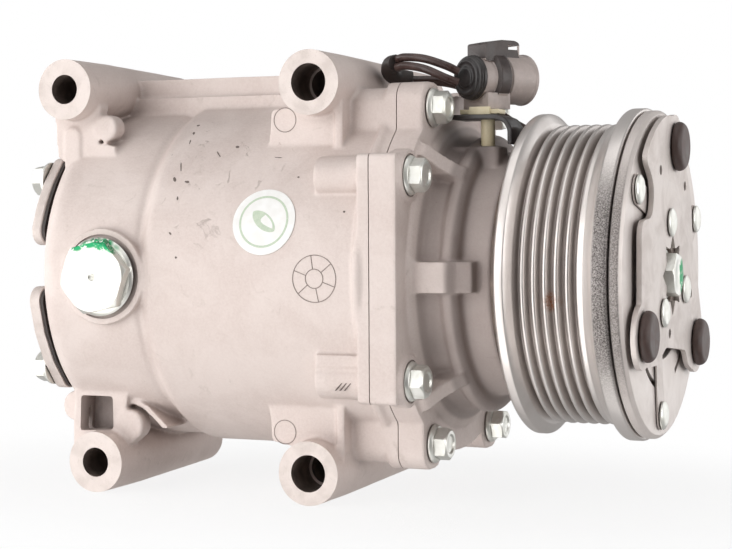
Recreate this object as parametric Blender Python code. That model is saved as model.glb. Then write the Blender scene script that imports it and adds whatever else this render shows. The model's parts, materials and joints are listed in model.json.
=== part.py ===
"""Scroll compressor for a car's air conditioning, with its electromagnetic belt clutch.

Every number below is in millimetres and MM turns it into metres. Lengths along the shaft are
stations on the X axis, counted from the rear edge of the belt pulley, +X towards the clutch.
The frame's own origin is the shaft nose, the front face of the clutch's centre bolt, so the
empty that every part hangs on sits NOSE_X behind it. +Z is up, and -Y is the side that shows
the fill plug.
"""
import math

import bmesh
import bpy
from mathutils import Matrix, Vector

MM = 0.001
GAP = 0.3
BODY_STEPS = 36
BALLS = 7

# Shaft line
NOSE_X = 45.0
PARTING_X = -37.6
REAR_X = -160.0

# Belt pulley with six V grooves
GROOVES = 6
GROOVE_PITCH = 3.56
FIRST_VALLEY_X = 6.2
CREST_R = 48.6
VALLEY_R = 45.7
REAR_FLANGE_R = 52.4
FRONT_FLANGE_R = 53.4
ROTOR_FACE_X = 35.6
COIL_CHANNEL = (31.2, 43.9)

# Clutch plate stack in front of the rotor
ARMATURE_X = (36.1, 40.0)
ARMATURE_R = 52.6
LEAF_T = 0.5
LEAF_OUTER_X = 40.3
LEAF_INNER_X = 40.7
HUB_PLATE_X = (41.5, 43.1)
DAMPER_RING_R = 41.3
DAMPER_ANGLE = 84.8
OUTER_RIVET_RING_R = 45.0
OUTER_RIVET_ANGLE = 143.0
INNER_RIVET_RING_R = 17.2
INNER_RIVET_ANGLE = 102.0

# Housings
BARREL_R = 59.2
REAR_SECTION_R = 57.6
CAVITY_R = 52.0
CAVITY_END_X = -109.0
CHAMBER_R = 41.0
CHAMBER_END_X = -151.0
FLANGE_FRONT_X = -28.5
FLANGE_SIDE_Y = 59.6
NECK_R = 40.5
SPIGOT_R = 51.6
FLANGE_BOLTS = [(y, z) for y in (-50.0, 50.0) for z in (32.0, -32.0)]
FLANGE_BOLTS += [(y, z) for y in (-28.0, 28.0) for z in (54.0, -54.0)]

# Mounting ears: station, height, outer radius, bore radius, far face
EAR_NEAR_Y = -49.0
EARS = {
    "rear_upper": (-152.8, 62.5, 10.2, 4.95, 28.0),
    "rear_lower": (-142.3, -63.0, 10.2, 4.95, 26.0),
    "front_upper": (-62.4, 62.0, 10.4, 6.0, 50.0),
    "front_lower": (-63.4, -62.8, 10.4, 6.0, 45.0),
}

# Fasteners, plug and rear ports
BOLT_HOLE_R = 3.4
PLUG_X = -133.2
PORT_AT = (-14.0, 22.0)
COVER_BOLT_AT = (-37.0, 32.2)
COVER_RIM_R = 53.6
COVER_CORNER_R = 5.0
RIVET_HOLE_R = 2.2
CLIP_AT = (-14.0, -15.0)

# Scroll set
WRAP_PITCH = 17.0
WRAP_T = 3.9
WRAP_GAP = 0.35
ORBIT_R = WRAP_PITCH / 2.0 - WRAP_T - WRAP_GAP
WRAP_TURN = (4.3, 14.6)
WRAP_STEP = math.radians(11.0)
FIXED_PLATE_X = (-108.5, -99.7)
ORBIT_PLATE_X = (-75.6, -67.2)
PIN_RING_R = 37.5
PIN_R = 2.5

# Shaft and bearings
PIN_X = (-65.9, -50.0)
CRANK_PIN_R = 6.5
NOSE_R = 17.5
NOSE_BORE_R = 14.0
MAIN_BORE_R = 26.3
MAIN_BEARING_X = (-44.0, -30.0)
PULLEY_BEARING_X = (4.5, 24.5)


# Connector and leads
CONNECTOR_AT = (-21.5, -16.0, 64.2)
CONNECTOR_TURN = 60.0
LEAD_R = 1.35
UPPER_WIRE = [(-23.2, -17.3, 66.0), (-27.0, -19.2, 68.0), (-34.0, -20.5, 70.4), (-41.0, -19.4, 71.2),
              (-44.4, -17.6, 70.9)]
LOWER_WIRE = [(-22.8, -19.3, 62.4), (-26.5, -21.6, 64.0), (-33.0, -22.6, 66.9), (-40.0, -21.0, 68.3),
              (-44.2, -18.6, 68.1)]
SLEEVE = [(-44.9, -17.6, 69.5), (-47.6, -15.6, 69.1), (-49.2, -12.2, 67.2), (-48.2, -8.6, 65.6),
          (-44.6, -5.6, 64.8)]
COIL_LEAD = [(-44.0, -5.2, 64.6), (-36.0, -1.0, 64.4), (-28.0, 1.4, 62.2), (-20.5, 1.6, 56.8),
             (-13.0, 1.0, 51.2), (-7.4, 0.4, 48.0), (-3.9, 0.0, 46.0), (-2.9, 0.0, 43.3)]


def polar(radius, degrees):
    """Y and Z of a point at a radius and an angle about the shaft."""
    angle = math.radians(degrees)
    return radius * math.cos(angle), radius * math.sin(angle)


def circle(cy, cz, radius, steps):
    """Points round a circle."""
    turn = 2.0 * math.pi / steps
    return [(cy + radius * math.cos(turn * k), cz + radius * math.sin(turn * k)) for k in range(steps)]


# ---------------------------------------------------------------- solids

def solid(points, faces):
    """A temporary object from points in millimetres and faces, its normals made to point out."""
    mesh = bpy.data.meshes.new("solid")
    mesh.from_pydata([Vector(p) * MM for p in points], [], faces)
    shape = bmesh.new()
    shape.from_mesh(mesh)
    bmesh.ops.recalc_face_normals(shape, faces=shape.faces)
    shape.to_mesh(mesh)
    shape.free()
    thing = bpy.data.objects.new("solid", mesh)
    bpy.context.scene.collection.objects.link(thing)
    return thing


def lathe(outline, steps=40, sweep=None):
    """Turn a closed (x, radius) outline about the X axis, all the way or through sweep degrees."""
    points, rows, faces = [], [], []
    start, end = sweep if sweep else (0.0, 360.0)
    count = steps + 1 if sweep else steps
    for x, radius in outline:
        row = []
        for k in range(1 if radius == 0 else count):
            y, z = polar(radius, start + (end - start) * k / steps)
            row.append(len(points))
            points.append((x, y, z))
        rows.append(row)
    for i, row in enumerate(rows):
        other = rows[(i + 1) % len(rows)]
        if len(row) == 1 and len(other) == 1:
            continue
        for k in range(steps):
            n = (k + 1) % count
            if len(row) == 1:
                faces.append((row[0], other[k], other[n]))
            elif len(other) == 1:
                faces.append((row[k], row[n], other[0]))
            else:
                faces.append((row[k], row[n], other[n], other[k]))
    if sweep:
        faces.append([row[0] for row in rows])
        faces.append([row[-1] for row in rows])
    return solid(points, faces)


def prism(outline, low, high, axis="X"):
    """Extrude an outline from low to high along an axis: (y, z) on X, (x, z) on Y, (x, y) on Z."""
    place = {
        "X": lambda a, b, c: (c, a, b),
        "Y": lambda a, b, c: (a, c, b),
        "Z": lambda a, b, c: (a, b, c),
    }[axis]
    count = len(outline)
    points = [place(a, b, low) for a, b in outline] + [place(a, b, high) for a, b in outline]
    faces = [list(range(count)), list(range(count, 2 * count))]
    faces += [(k, (k + 1) % count, (k + 1) % count + count, k + count) for k in range(count)]
    return solid(points, faces)


def moved(thing, x, y, z):
    """Shift a solid by millimetres."""
    thing.data.transform(Matrix.Translation(Vector((x, y, z)) * MM))
    return thing


def rounded_outline(corners, radius, steps=12):
    """The convex outline round equal circles at the corners."""
    spots = sorted(p for cy, cz in corners for p in circle(cy, cz, radius, steps))
    halves = []
    for ordered in (spots, spots[::-1]):
        chain = []
        for p in ordered:
            while len(chain) > 1:
                a, b = chain[-2], chain[-1]
                if (b[0] - a[0]) * (p[1] - a[1]) - (b[1] - a[1]) * (p[0] - a[0]) > 1e-6:
                    break
                chain.pop()
            chain.append(p)
        halves += chain[:-1]
    return halves


def rod(a, b, radius, low, high, axis="X", steps=16):
    """A round bar along an axis."""
    return prism(circle(a, b, radius, steps), low, high, axis)


def block(low, high):
    """A box between two corners."""
    outline = [(low[1], low[2]), (high[1], low[2]), (high[1], high[2]), (low[1], high[2])]
    return prism(outline, low[0], high[0])


def merge(base, tools, operation):
    """Apply one Boolean after another to base, and remove the tools."""
    for tool in tools:
        step = base.modifiers.new("step", "BOOLEAN")
        step.operation = operation
        step.solver = "EXACT"
        step.object = tool
    bpy.context.view_layer.update()
    graph = bpy.context.evaluated_depsgraph_get()
    result = bpy.data.meshes.new_from_object(base.evaluated_get(graph))
    base.modifiers.clear()
    base.data = result
    for tool in tools:
        bpy.data.objects.remove(tool, do_unlink=True)
    return base


def join(base, *tools):
    """Union of solids."""
    return merge(base, tools, "UNION")


def cut(base, *tools):
    """Take solids away from base."""
    return merge(base, tools, "DIFFERENCE")


def clip(base, tool):
    """Keep what base and tool share."""
    return merge(base, [tool], "INTERSECT")


def tidy(thing):
    """Weld stray points and dissolve the edges that a Boolean leaves across flat faces."""
    shape = bmesh.new()
    shape.from_mesh(thing.data)
    bmesh.ops.remove_doubles(shape, verts=shape.verts, dist=0.002 * MM)
    bmesh.ops.dissolve_limit(shape, angle_limit=math.radians(0.2), verts=shape.verts, edges=shape.edges)
    shape.to_mesh(thing.data)
    shape.free()


# ---------------------------------------------------------------- finishing

LOOKS = {
    "cast": ((0.71, 0.66, 0.63, 1.0), 0.5, 0.7),
    "machined": ((0.80, 0.77, 0.74, 1.0), 0.35, 0.85),
    "steel": ((0.62, 0.61, 0.60, 1.0), 0.3, 1.0),
    "zinc": ((0.76, 0.76, 0.73, 1.0), 0.28, 1.0),
    "rubber": ((0.045, 0.035, 0.035, 1.0), 0.65, 0.0),
    "plastic": ((0.05, 0.045, 0.045, 1.0), 0.45, 0.0),
    "ivory": ((0.78, 0.70, 0.50, 1.0), 0.5, 0.0),
    "copper": ((0.55, 0.30, 0.20, 1.0), 0.45, 0.4),
    "wire": ((0.06, 0.035, 0.03, 1.0), 0.4, 0.0),
}


def make_material(kind):
    """A Principled material of one of the looks."""
    colour, roughness, metallic = LOOKS[kind]
    material = bpy.data.materials.new(kind)
    material.use_nodes = True
    shader = material.node_tree.nodes["Principled BSDF"]
    shader.inputs["Base Color"].default_value = colour
    shader.inputs["Roughness"].default_value = roughness
    shader.inputs["Metallic"].default_value = metallic
    material.diffuse_color = colour
    return material


def finish(thing, name, kind, parent):
    """Tidy a part, name it, give it its material and hang it on its empty."""
    tidy(thing)
    thing.name = name
    thing.data.name = name
    thing.data.materials.clear()
    thing.data.materials.append(MATERIALS[kind])
    thing.data.shade_smooth()
    thing.data.set_sharp_from_angle(angle=math.radians(32.0))
    thing.parent = parent
    return thing


def axis_empty(name, x, y, z, parent=None):
    """An empty on a joint's axis."""
    empty = bpy.data.objects.new(name, None)
    empty.location = Vector((x, y, z)) * MM
    empty.empty_display_size = 0.02
    empty.parent = parent
    bpy.context.scene.collection.objects.link(empty)
    return empty


def bolt(cy, cz, seat_x, shank_x, shank_r, flange_r, hex_r, head, facing=1):
    """A flange bolt along X: its seat, the far end of its shank, and its head on the facing side."""
    lip = seat_x + facing * 1.3
    top = seat_x + facing * head
    profile = [(shank_x, 0), (shank_x, shank_r), (seat_x, shank_r), (seat_x, flange_r),
               (lip, flange_r - 0.5), (lip, 0)]
    stem = moved(lathe(profile, 12), 0.0, cy, cz)
    low, high = sorted((lip - facing * 0.4, top))
    head_solid = prism(circle(cy, cz, hex_r, 6), low, high)
    return join(stem, head_solid)


# ---------------------------------------------------------------- housings

def flange_solid(low, high):
    """The bolted flange's outline: a disc, its flat sides and a lobe round each bolt."""
    disc = lathe([(low, 0), (low, BARREL_R), (high, BARREL_R), (high, 0)], BODY_STEPS)
    side = FLANGE_SIDE_Y
    slab = block((low, -side, -39.5), (high, side, 39.5))
    lobes = [rod(y, z, 8.2, low, high) for y, z in FLANGE_BOLTS if abs(z) > 40]
    return join(disc, slab, *lobes)


def ear_tubes():
    """The four through tubes of the mounting ears."""
    return [rod(x, z, outer, EAR_NEAR_Y, far, "Y", 20) for x, z, outer, bore, far in EARS.values()]


def ear_bores():
    """Their bores; the front pair open into a wider mouth."""
    bores = []
    for x, z, outer, bore, far in EARS.values():
        bores.append(rod(x, z, bore - (0.9 if bore > 5 else 0.0), EAR_NEAR_Y - 3, far + 3, "Y", 14))
        if bore > 5:
            bores.append(rod(x, z, bore, EAR_NEAR_Y - 3, EAR_NEAR_Y + 14, "Y", 14))
    return bores


def ear_webs():
    """Webs, lugs and blocks that tie the ear tubes to the barrel, near side and far side."""
    webs = []
    for near, far in ((-41.0, -31.0), (9.0, 19.0)):
        webs.append(block((-157.4, near, 34.0), (-143.6, far, 57.0)))
        webs.append(rod(-142.0, 49.6, 4.3, near, far, "Y", 12))
        webs.append(block((-155.4, near, -57.0), (-137.6, far, -34.0)))
        webs.append(rod(-134.4, -50.5, 4.9, near, far, "Y", 12))
        webs.append(block((-139.6, near, -55.0), (-134.0, far, -47.4)))
    for near, far in ((-41.0, -31.0), (26.0, 36.0)):
        webs.append(block((-79.0, near, 40.0), (-56.8, far, 58.0)))
        webs.append(block((-79.6, near, -58.5), (-57.2, far, -40.0)))
    for height in (45.8, -46.0):
        webs.append(rod(-158.6, height, 5.2, -35.0, -14.0, "Y", 12))
    return webs


def barrel_details():
    """Bolt bosses behind the flange, the ridge between the upper ears, and the plug's pad."""
    details = []
    for y, z in FLANGE_BOLTS:
        reach = -57.6 if abs(z) < 40 else -55.4
        radius = 6.1 if abs(z) < 40 else 7.0
        details.append(rod(y * 0.99, z, radius, reach, PARTING_X - 1.0, steps=12))
    for side in (-1.0, 1.0):
        low, high = sorted((side * 40.0, side * 55.6))
        details.append(block((-57.4, low, -27.6), (-39.0, high, -24.2)))
    details.append(block((-150.0, -15.0, 54.0), (-66.0, 9.0, 66.6)))
    details.append(block((-55.9, -43.5, 44.0), (-53.2, -33.0, 58.0)))
    details.append(block((-55.9, -43.5, -58.0), (-53.2, -33.0, -44.0)))
    details.append(rod(PLUG_X, 0.0, 15.0, -58.9, -45.0, "Y", 24))
    return details


def rear_cuts():
    """Holes in the rear housing: bolt holes, plug thread, ports and a casting pocket."""
    cuts = ear_bores()
    cuts += [rod(y, z, BOLT_HOLE_R, -52.5, PARTING_X + 2.0, steps=8) for y, z in FLANGE_BOLTS]
    cuts.append(rod(PLUG_X, 0.0, 6.9, -64.0, -36.0, "Y", 14))
    for side in (1.0, -1.0):
        cuts.append(rod(PORT_AT[0], side * PORT_AT[1], 8.0, REAR_X - 3.0, CHAMBER_END_X + 3.0, steps=14))
        cuts.append(rod(COVER_BOLT_AT[0], side * COVER_BOLT_AT[1], 3.0, REAR_X - 3.0, -149.5, steps=8))
    cuts.append(block((-151.4, -43.0, -53.4), (-141.6, -34.5, -42.6)))
    return cuts


def rear_housing(machine):
    """The deep casting that holds the scrolls and carries the four mounting ears."""
    outer = [(REAR_X, 0), (REAR_X, 50.5), (-158.4, 54.6), (-153.0, REAR_SECTION_R), (-121.6, REAR_SECTION_R),
             (-120.8, 56.9), (-119.8, 56.9), (-117.4, BARREL_R), (PARTING_X - 1.5, BARREL_R),
             (PARTING_X - 1.5, 0)]
    body = lathe(outer, BODY_STEPS)
    lip = flange_solid(-41.6, PARTING_X)
    body = join(body, lip, *ear_tubes())
    body = join(body, *ear_webs())
    body = join(body, *barrel_details())
    hollow = [(PARTING_X + 3.0, 0), (PARTING_X + 3.0, CAVITY_R), (CAVITY_END_X, CAVITY_R),
              (CAVITY_END_X, CHAMBER_R), (CHAMBER_END_X, CHAMBER_R - 2.0), (CHAMBER_END_X, 0)]
    body = cut(body, lathe(hollow, BODY_STEPS))
    body = cut(body, *rear_cuts())
    return finish(body, "rear_housing", "cast", machine)


def gusset(degrees, thickness=5.0):
    """A web from the flange down to the neck, in the plane of the shaft."""
    outline = [(FLANGE_FRONT_X - 4.0, 36.0), (FLANGE_FRONT_X - 4.0, 57.0), (-27.0, 57.0), (-12.6, 44.4),
               (-12.6, 36.0)]
    web = prism(outline, -thickness / 2.0, thickness / 2.0, "Y")
    turn = Matrix.Rotation(math.radians(degrees - 90.0), 4, "X")
    web.data.transform(turn)
    return web


def front_housing(machine):
    """The front head: spigot, flange, neck and the nose that carries the pulley."""
    outline = [
        (-62.8, 44.5), (-62.8, SPIGOT_R), (-43.6, SPIGOT_R), (-43.6, 49.2), (-41.2, 49.2),
        (-41.2, SPIGOT_R), (-30.0, SPIGOT_R), (-30.0, 47.6), (-15.8, 45.4), (-14.2, 43.8),
        (-14.2, NECK_R), (-5.4, NECK_R - 1.0), (-4.4, NECK_R - 2.0), (-4.4, NOSE_R), (25.2, NOSE_R),
        (25.2, 16.0), (27.0, 16.0), (27.0, NOSE_R), (28.2, NOSE_R), (28.8, 16.9), (28.8, NOSE_BORE_R),
        (-27.4, NOSE_BORE_R), (-27.4, 23.0), (-29.5, 23.0), (-29.5, MAIN_BORE_R), (-44.4, MAIN_BORE_R),
        (-44.4, 30.5), (-34.5, 30.5), (-34.5, 41.5), (-45.5, 44.5),
    ]
    body = lathe(outline, BODY_STEPS)
    ring = cut(flange_solid(PARTING_X + GAP, FLANGE_FRONT_X), rod(0, 0, 50.0, -60.0, 0.0, steps=32))
    body = join(body, ring)
    details = [gusset(a) for a in (45.0, 135.0, 225.0, 315.0)]
    rib = [(-33.0, -40.0), (-33.0, -54.0), (-19.0, -52.5), (-9.4, -43.0), (-9.4, -36.0)]
    details.append(prism(rib, -3.9, 4.6, "Z"))
    details.append(prism([(x, -y) for x, y in rib], -3.9, 4.6, "Z"))
    details.append(block((-30.0, -21.5, 33.0), (-7.6, -8.5, 42.0)))
    details += [rod(y, z, 8.2, FLANGE_FRONT_X - 4.0, FLANGE_FRONT_X + 0.6) for y, z in FLANGE_BOLTS
                if abs(z) < 40]
    body = join(body, *details)
    holes = [rod(y, z, BOLT_HOLE_R, -40.0, -25.0, steps=8) for y, z in FLANGE_BOLTS]
    holes.append(rod(*CLIP_AT, 2.7, 37.4, 50.0, "Z", 12))
    body = cut(body, *holes)
    return finish(body, "front_housing", "cast", machine)


def flange_fasteners(machine):
    """The O-ring between the housings and the bolts that hold them together."""
    section = [(-43.2, 49.6), (-43.2, 51.3), (-42.9, 51.6), (-41.9, 51.6), (-41.6, 51.3), (-41.6, 49.6)]
    ring = lathe(section, 24)
    finish(ring, "housing_oring", "rubber", machine)
    for number, (y, z) in enumerate(FLANGE_BOLTS, 1):
        seat = FLANGE_FRONT_X + GAP + (0.6 if abs(z) < 40 else 0.0)
        finish(bolt(y, z, seat, -50.0, 3.0, 6.3, 5.4, 5.8), f"flange_bolt_{number}", "zinc", machine)


def fill_plug(machine):
    """Hexagon plug on the near side, its corners turned off, with a flange and a centre dimple."""
    plug = prism(circle(PLUG_X, 0.0, 11.2, 6), -65.4, -60.2, "Y")
    plug = join(plug, rod(PLUG_X, 0.0, 10.4, -61.2, -59.2, "Y", 18), rod(PLUG_X, 0.0, 6.5, -60.0, -50.0, "Y"))
    face = rod(PLUG_X, 0.0, 10.2, -66.4, -59.2, "Y", 18)
    plug = clip(plug, join(face, rod(PLUG_X, 0.0, 12.5, -64.6, -40.0, "Y", 18)))
    plug = cut(plug, rod(PLUG_X, 0.0, 1.0, -68.0, -64.4, "Y", 10))
    finish(plug, "fill_plug", "zinc", machine)


def port_covers(machine):
    """Two plates that close the ports on the rear face, each on a gasket under one bolt."""
    bolt_y, bolt_z = COVER_BOLT_AT
    ring = COVER_RIM_R - COVER_CORNER_R
    for side, name, heights in ((1.0, "upper", (15.0, 21.5, 28.5, 34.8)),
                                (-1.0, "lower", (9.0, 18.0, 27.0, 34.8))):
        corners = [(-math.sqrt(ring ** 2 - z ** 2), side * z) for z in heights]
        corners += [(1.0, side * heights[-1]), (1.0, side * heights[0])]
        for part, kind, low, high, rim in (("port_gasket", "rubber", -161.2, -160.3, COVER_CORNER_R - 0.6),
                                           ("port_cover", "zinc", -165.2, -161.5, COVER_CORNER_R)):
            plate = prism(rounded_outline(corners, rim), low, high)
            plate = cut(plate, rod(bolt_y, side * bolt_z, 3.0, -170.0, -155.0, steps=12))
            finish(plate, f"{part}_{name}", kind, machine)
        screw = bolt(bolt_y, side * bolt_z, -165.5, -152.0, 2.6, 6.2, 5.4, 5.6, facing=-1)
        finish(screw, f"cover_bolt_{name}", "zinc", machine)


# ---------------------------------------------------------------- scroll set

def involute_wall(turned, low, high):
    """A spiral wall of constant thickness between two involutes of one base circle."""
    base = WRAP_PITCH / (2.0 * math.pi)
    half = WRAP_T / (2.0 * base)
    count = int(round((WRAP_TURN[1] - WRAP_TURN[0]) / WRAP_STEP))
    sides = []
    for shift in (-half, half):
        side = []
        for k in range(count + 1):
            t = WRAP_TURN[0] + (WRAP_TURN[1] - WRAP_TURN[0]) * k / count
            reach = t + shift
            y = base * (math.cos(t) + reach * math.sin(t))
            z = base * (math.sin(t) - reach * math.cos(t))
            side.append((y * turned, z * turned))
        sides.append(side)
    outline = sides[0] + sides[1][::-1]
    return prism(outline, low, high)


def scroll_set(machine, orbit):
    """Fixed scroll, orbiting scroll on its own empty, and the plate whose pins stop it turning."""
    low, high = FIXED_PLATE_X
    base = lathe([(low, 0), (low, 51.7), (-76.0, 51.7), (-76.0, 48.2), (high, 48.2), (high, 0)], 32)
    wrap = involute_wall(1.0, high - 0.5, ORBIT_PLATE_X[0] - 0.4)
    fixed = join(base, wrap)
    window = block((-96.0, -60.0, -20.0), (-70.0, -44.0, 20.0))
    fixed = cut(fixed, rod(0, 0, 3.4, low - 2, high + 0.1, steps=16), window)
    fixed = cut(fixed, rod(14.0, 0.0, 2.2, low - 2.0, low + 4.0, steps=12))
    finish(fixed, "fixed_scroll", "machined", machine)

    low, high = ORBIT_PLATE_X
    base = lathe([(low, 0), (low, 46.0), (high, 46.0), (high, 17.5), (-51.2, 17.5), (-51.2, 10.4),
                  (-66.4, 10.4), (-66.4, 0)], 32)
    wrap = involute_wall(-1.0, high - 32.1, low + 0.5)
    orbiting = join(base, wrap)
    pocket_r = PIN_R + ORBIT_R + 0.5
    pockets = [rod(*polar(PIN_RING_R, a), pocket_r, high - 5.3, high + 2.0, steps=12)
               for a in (45, 135, 225, 315)]
    orbiting = cut(orbiting, *pockets)
    finish(orbiting, "orbiting_scroll", "machined", orbit)

    plate = lathe([(-66.8, 30.0), (-66.8, 51.5), (-63.2, 51.5), (-63.2, 30.0)], 32)
    pins = [rod(*polar(PIN_RING_R, a), PIN_R, high - 4.8, -64.5, steps=8) for a in (45, 135, 225, 315)]
    finish(join(plate, *pins), "anti_rotation_plate", "steel", machine)

    reed = join(block((-109.9, -5.0, -4.0), (-109.2, 17.0, 4.0)), rod(0, 0, 5.0, -109.9, -109.2, steps=20))
    reed = cut(reed, rod(14.0, 0.0, 2.2, -112.0, -107.0, steps=12))
    finish(reed, "discharge_reed", "steel", machine)
    stop = prism([(-111.6, 18.0), (-110.2, 18.0), (-110.2, 10.0), (-113.6, -5.5), (-115.0, -5.5),
                  (-111.6, 10.0)], -4.0, 4.0, "Z")
    stop = join(stop, rod(14.0, 0.0, 1.8, -113.6, -105.4, steps=12),
                rod(14.0, 0.0, 3.4, -114.0, -111.0, steps=12))
    finish(stop, "reed_stop", "steel", machine)


# ---------------------------------------------------------------- shaft and bearings

def shaft_line(machine, orbit):
    """Crankshaft with its pin, drive bush, counterweight, seal and front bearing."""
    outline = [(-50.0, 0), (-50.0, 16.0), (-45.6, 16.0), (-45.6, 12.2), (-28.8, 12.2), (-28.8, 9.5),
               (-4.0, 9.5), (-4.0, 8.5), (28.0, 8.5), (28.0, 7.0), (38.8, 7.0), (38.8, 4.1), (23.0, 4.1),
               (23.0, 0)]
    shaft = lathe(outline, 20)
    shaft = join(shaft, rod(ORBIT_R, 0.0, CRANK_PIN_R, PIN_X[0], -49.0, steps=16))
    finish(shaft, "crankshaft", "steel", machine)

    bush = lathe([(-65.7, 6.8), (-65.7, 10.1), (-51.4, 10.1), (-51.4, 6.8)], 20)
    finish(bush, "drive_bush", "steel", orbit)

    arm = [(-60.5, 22.5), (-60.5, 33.0), (-46.2, 33.0), (-46.2, 16.4), (-50.4, 16.4), (-50.4, 22.5)]
    weight = lathe(arm, 12, sweep=(105.0, 255.0))
    finish(weight, "counterweight", "steel", machine)

    seal = lathe([(-22.0, 9.8), (-22.0, 13.7), (-10.8, 13.7), (-10.8, 12.4), (-14.0, 12.4), (-14.0, 9.8)], 20)
    finish(seal, "shaft_seal", "rubber", machine)
    front = lathe([(8.0, 8.8), (8.0, 13.7), (24.0, 13.7), (24.0, 8.8)], 20)
    finish(front, "front_bearing", "steel", machine)


def ball_bearing(name, ends, inner, ball, outer, machine, cage):
    """Two races and a cage with its balls, the cage on its own empty."""
    low, high = ends
    mid = (low + high) / 2.0
    ball_r = ball[1]
    for race, part in ((inner, "inner_race"), (outer, "outer_race")):
        ring = lathe([(low, race[0]), (low, race[1]), (high, race[1]), (high, race[0])], 24)
        finish(ring, f"{name}_{part}", "steel", machine)
    strip = ball_r * 0.45
    cage_solid = lathe([(mid - 3.4, ball[0] - strip), (mid - 3.4, ball[0] + strip),
                        (mid + 3.4, ball[0] + strip), (mid + 3.4, ball[0] - strip)], 24)
    balls = []
    for k in range(BALLS):
        y, z = polar(ball[0], 360.0 * k / BALLS)
        belt = (ball_r * math.cos(0.9), ball_r * math.sin(0.9))
        sphere = lathe([(ball_r, 0), belt, (-belt[0], belt[1]), (-ball_r, 0)], 6)
        balls.append(moved(sphere, mid, y, z))
    finish(join(cage_solid, *balls), f"{name}_cage", "steel", cage)


# ---------------------------------------------------------------- clutch

def pulley(spin):
    """Rotor: rear flange, six V grooves, front flange, friction face with its slots, coil channel."""
    inner, outer = COIL_CHANNEL
    outline = [(3.0, 27.3), (3.0, inner), (32.3, inner), (32.3, outer), (0.0, outer), (0.0, 51.7),
               (0.7, REAR_FLANGE_R), (4.1, REAR_FLANGE_R), (5.3, 49.6)]
    for k in range(GROOVES):
        valley = FIRST_VALLEY_X + GROOVE_PITCH * k
        if k:
            outline.append((valley - 1.35, CREST_R))
        outline += [(valley, VALLEY_R), (valley + 1.35, CREST_R)]
    outline += [(27.0, CREST_R), (29.2, 50.4), (30.6, 52.2), (30.9, FRONT_FLANGE_R - 0.3),
                (31.4, FRONT_FLANGE_R), (35.1, FRONT_FLANGE_R), (ROTOR_FACE_X, 52.8), (ROTOR_FACE_X, 33.0),
                (34.6, 33.0), (34.6, 25.5), (25.5, 25.5), (25.5, 27.3)]
    rotor = lathe(outline, 30)
    slots = []
    for start in (10.0, 130.0, 250.0):
        arc = [(31.0, 37.6), (31.0, 39.6), (38.0, 39.6), (38.0, 37.6)]
        slots.append(lathe(arc, 6, sweep=(start, start + 98.0)))
    finish(cut(rotor, *slots), "pulley_rotor", "zinc", spin)


def leaf_spring(number, machine):
    """A thin strap from an inner rivet on the hub out to an outer rivet on the armature."""
    y0, z0 = polar(INNER_RIVET_RING_R, INNER_RIVET_ANGLE + 120.0 * number)
    y1, z1 = polar(OUTER_RIVET_RING_R, OUTER_RIVET_ANGLE + 120.0 * number)
    along = Vector((y1 - y0, z1 - z0))
    length = along.length
    along.normalize()
    across = Vector((-along.y, along.x))
    width = 4.1
    stations = [(-width * math.cos(a), width * math.sin(a)) for a in (0.35, 0.8, math.pi / 2)]
    stations += [(length * f, width) for f in (0.25, 0.42, 0.58, 0.75)]
    stations += [(length + width * math.cos(a), width * math.sin(a)) for a in (math.pi / 2, 0.8, 0.35)]
    points, faces = [], []
    for reach, half in stations:
        blend = min(1.0, max(0.0, (reach / length - 0.25) / 0.5))
        x = LEAF_INNER_X + (LEAF_OUTER_X - LEAF_INNER_X) * blend
        for side in (-1.0, 1.0):
            spot = Vector((y0, z0)) + along * reach + across * (half * side)
            points += [(x, spot.x, spot.y), (x + LEAF_T, spot.x, spot.y)]
    for k in range(len(stations) - 1):
        a, b = 4 * k, 4 * k + 4
        faces += [(a, a + 2, b + 2, b), (a + 1, b + 1, b + 3, a + 3), (a, b, b + 1, a + 1),
                  (a + 2, a + 3, b + 3, b + 2)]
    last = 4 * (len(stations) - 1)
    faces += [(0, 1, 3, 2), (last, last + 2, last + 3, last + 1)]
    strap = solid(points, faces)
    strap = cut(strap, rod(y0, z0, RIVET_HOLE_R, 38.0, 46.0, steps=12),
                rod(y1, z1, RIVET_HOLE_R, 38.0, 46.0, steps=12))
    finish(strap, f"leaf_spring_{number + 1}", "steel", machine)


def rivet(y, z, tail, head):
    """A rivet along X: (tail x, tail radius, tail thickness) and (seat x, head radius, thickness)."""
    tail_x, tail_r, tail_t = tail
    seat_x, head_r, head_t = head
    outline = [(tail_x, 0), (tail_x, tail_r)]
    if tail_t:
        outline += [(tail_x + tail_t, tail_r), (tail_x + tail_t, 1.9)]
    outline += [(seat_x, 1.9), (seat_x, head_r), (seat_x + head_t * 0.45, head_r),
                (seat_x + head_t, head_r * 0.66), (seat_x + head_t, 0)]
    return moved(lathe(outline, 12), 0.0, y, z)


def hub_plate_outline():
    """The hub's plate: a lobe round each damper, and notches that leave room for the outer rivets."""
    low, high = HUB_PLATE_X
    middle = [(-9.0, -22.6), (-20.0, -27.4), (-33.0, -27.2), (-44.4, -24.6), (-47.2, -20.6), (-46.6, -13.0),
              (-41.4, -9.6), (-40.2, -6.8), (-40.2, 14.6), (-37.6, 17.8), (-29.2, 18.2), (-26.3, 20.2),
              (-25.0, 24.0), (-25.1, 28.4), (-28.2, 31.8), (-32.4, 34.6), (-33.8, 37.2), (-29.4, 41.2),
              (-24.0, 44.8), (-16.0, 48.4), (-8.0, 50.6), (3.7, 50.9), (14.0, 42.6), (19.4, 34.0),
              (25.6, 26.0), (27.2, 18.0), (28.6, 9.0), (34.0, 1.0), (38.4, -8.0), (43.0, -18.0),
              (40.0, -30.0), (30.0, -33.2), (22.4, -31.0), (18.0, -25.4)]
    plate = prism(middle, low, high)
    for k in range(3):
        y, z = polar(DAMPER_RING_R, DAMPER_ANGLE + 120.0 * k)
        plate = join(plate, rod(y, z, 10.2, low, high, steps=18))
    return plate


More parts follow.
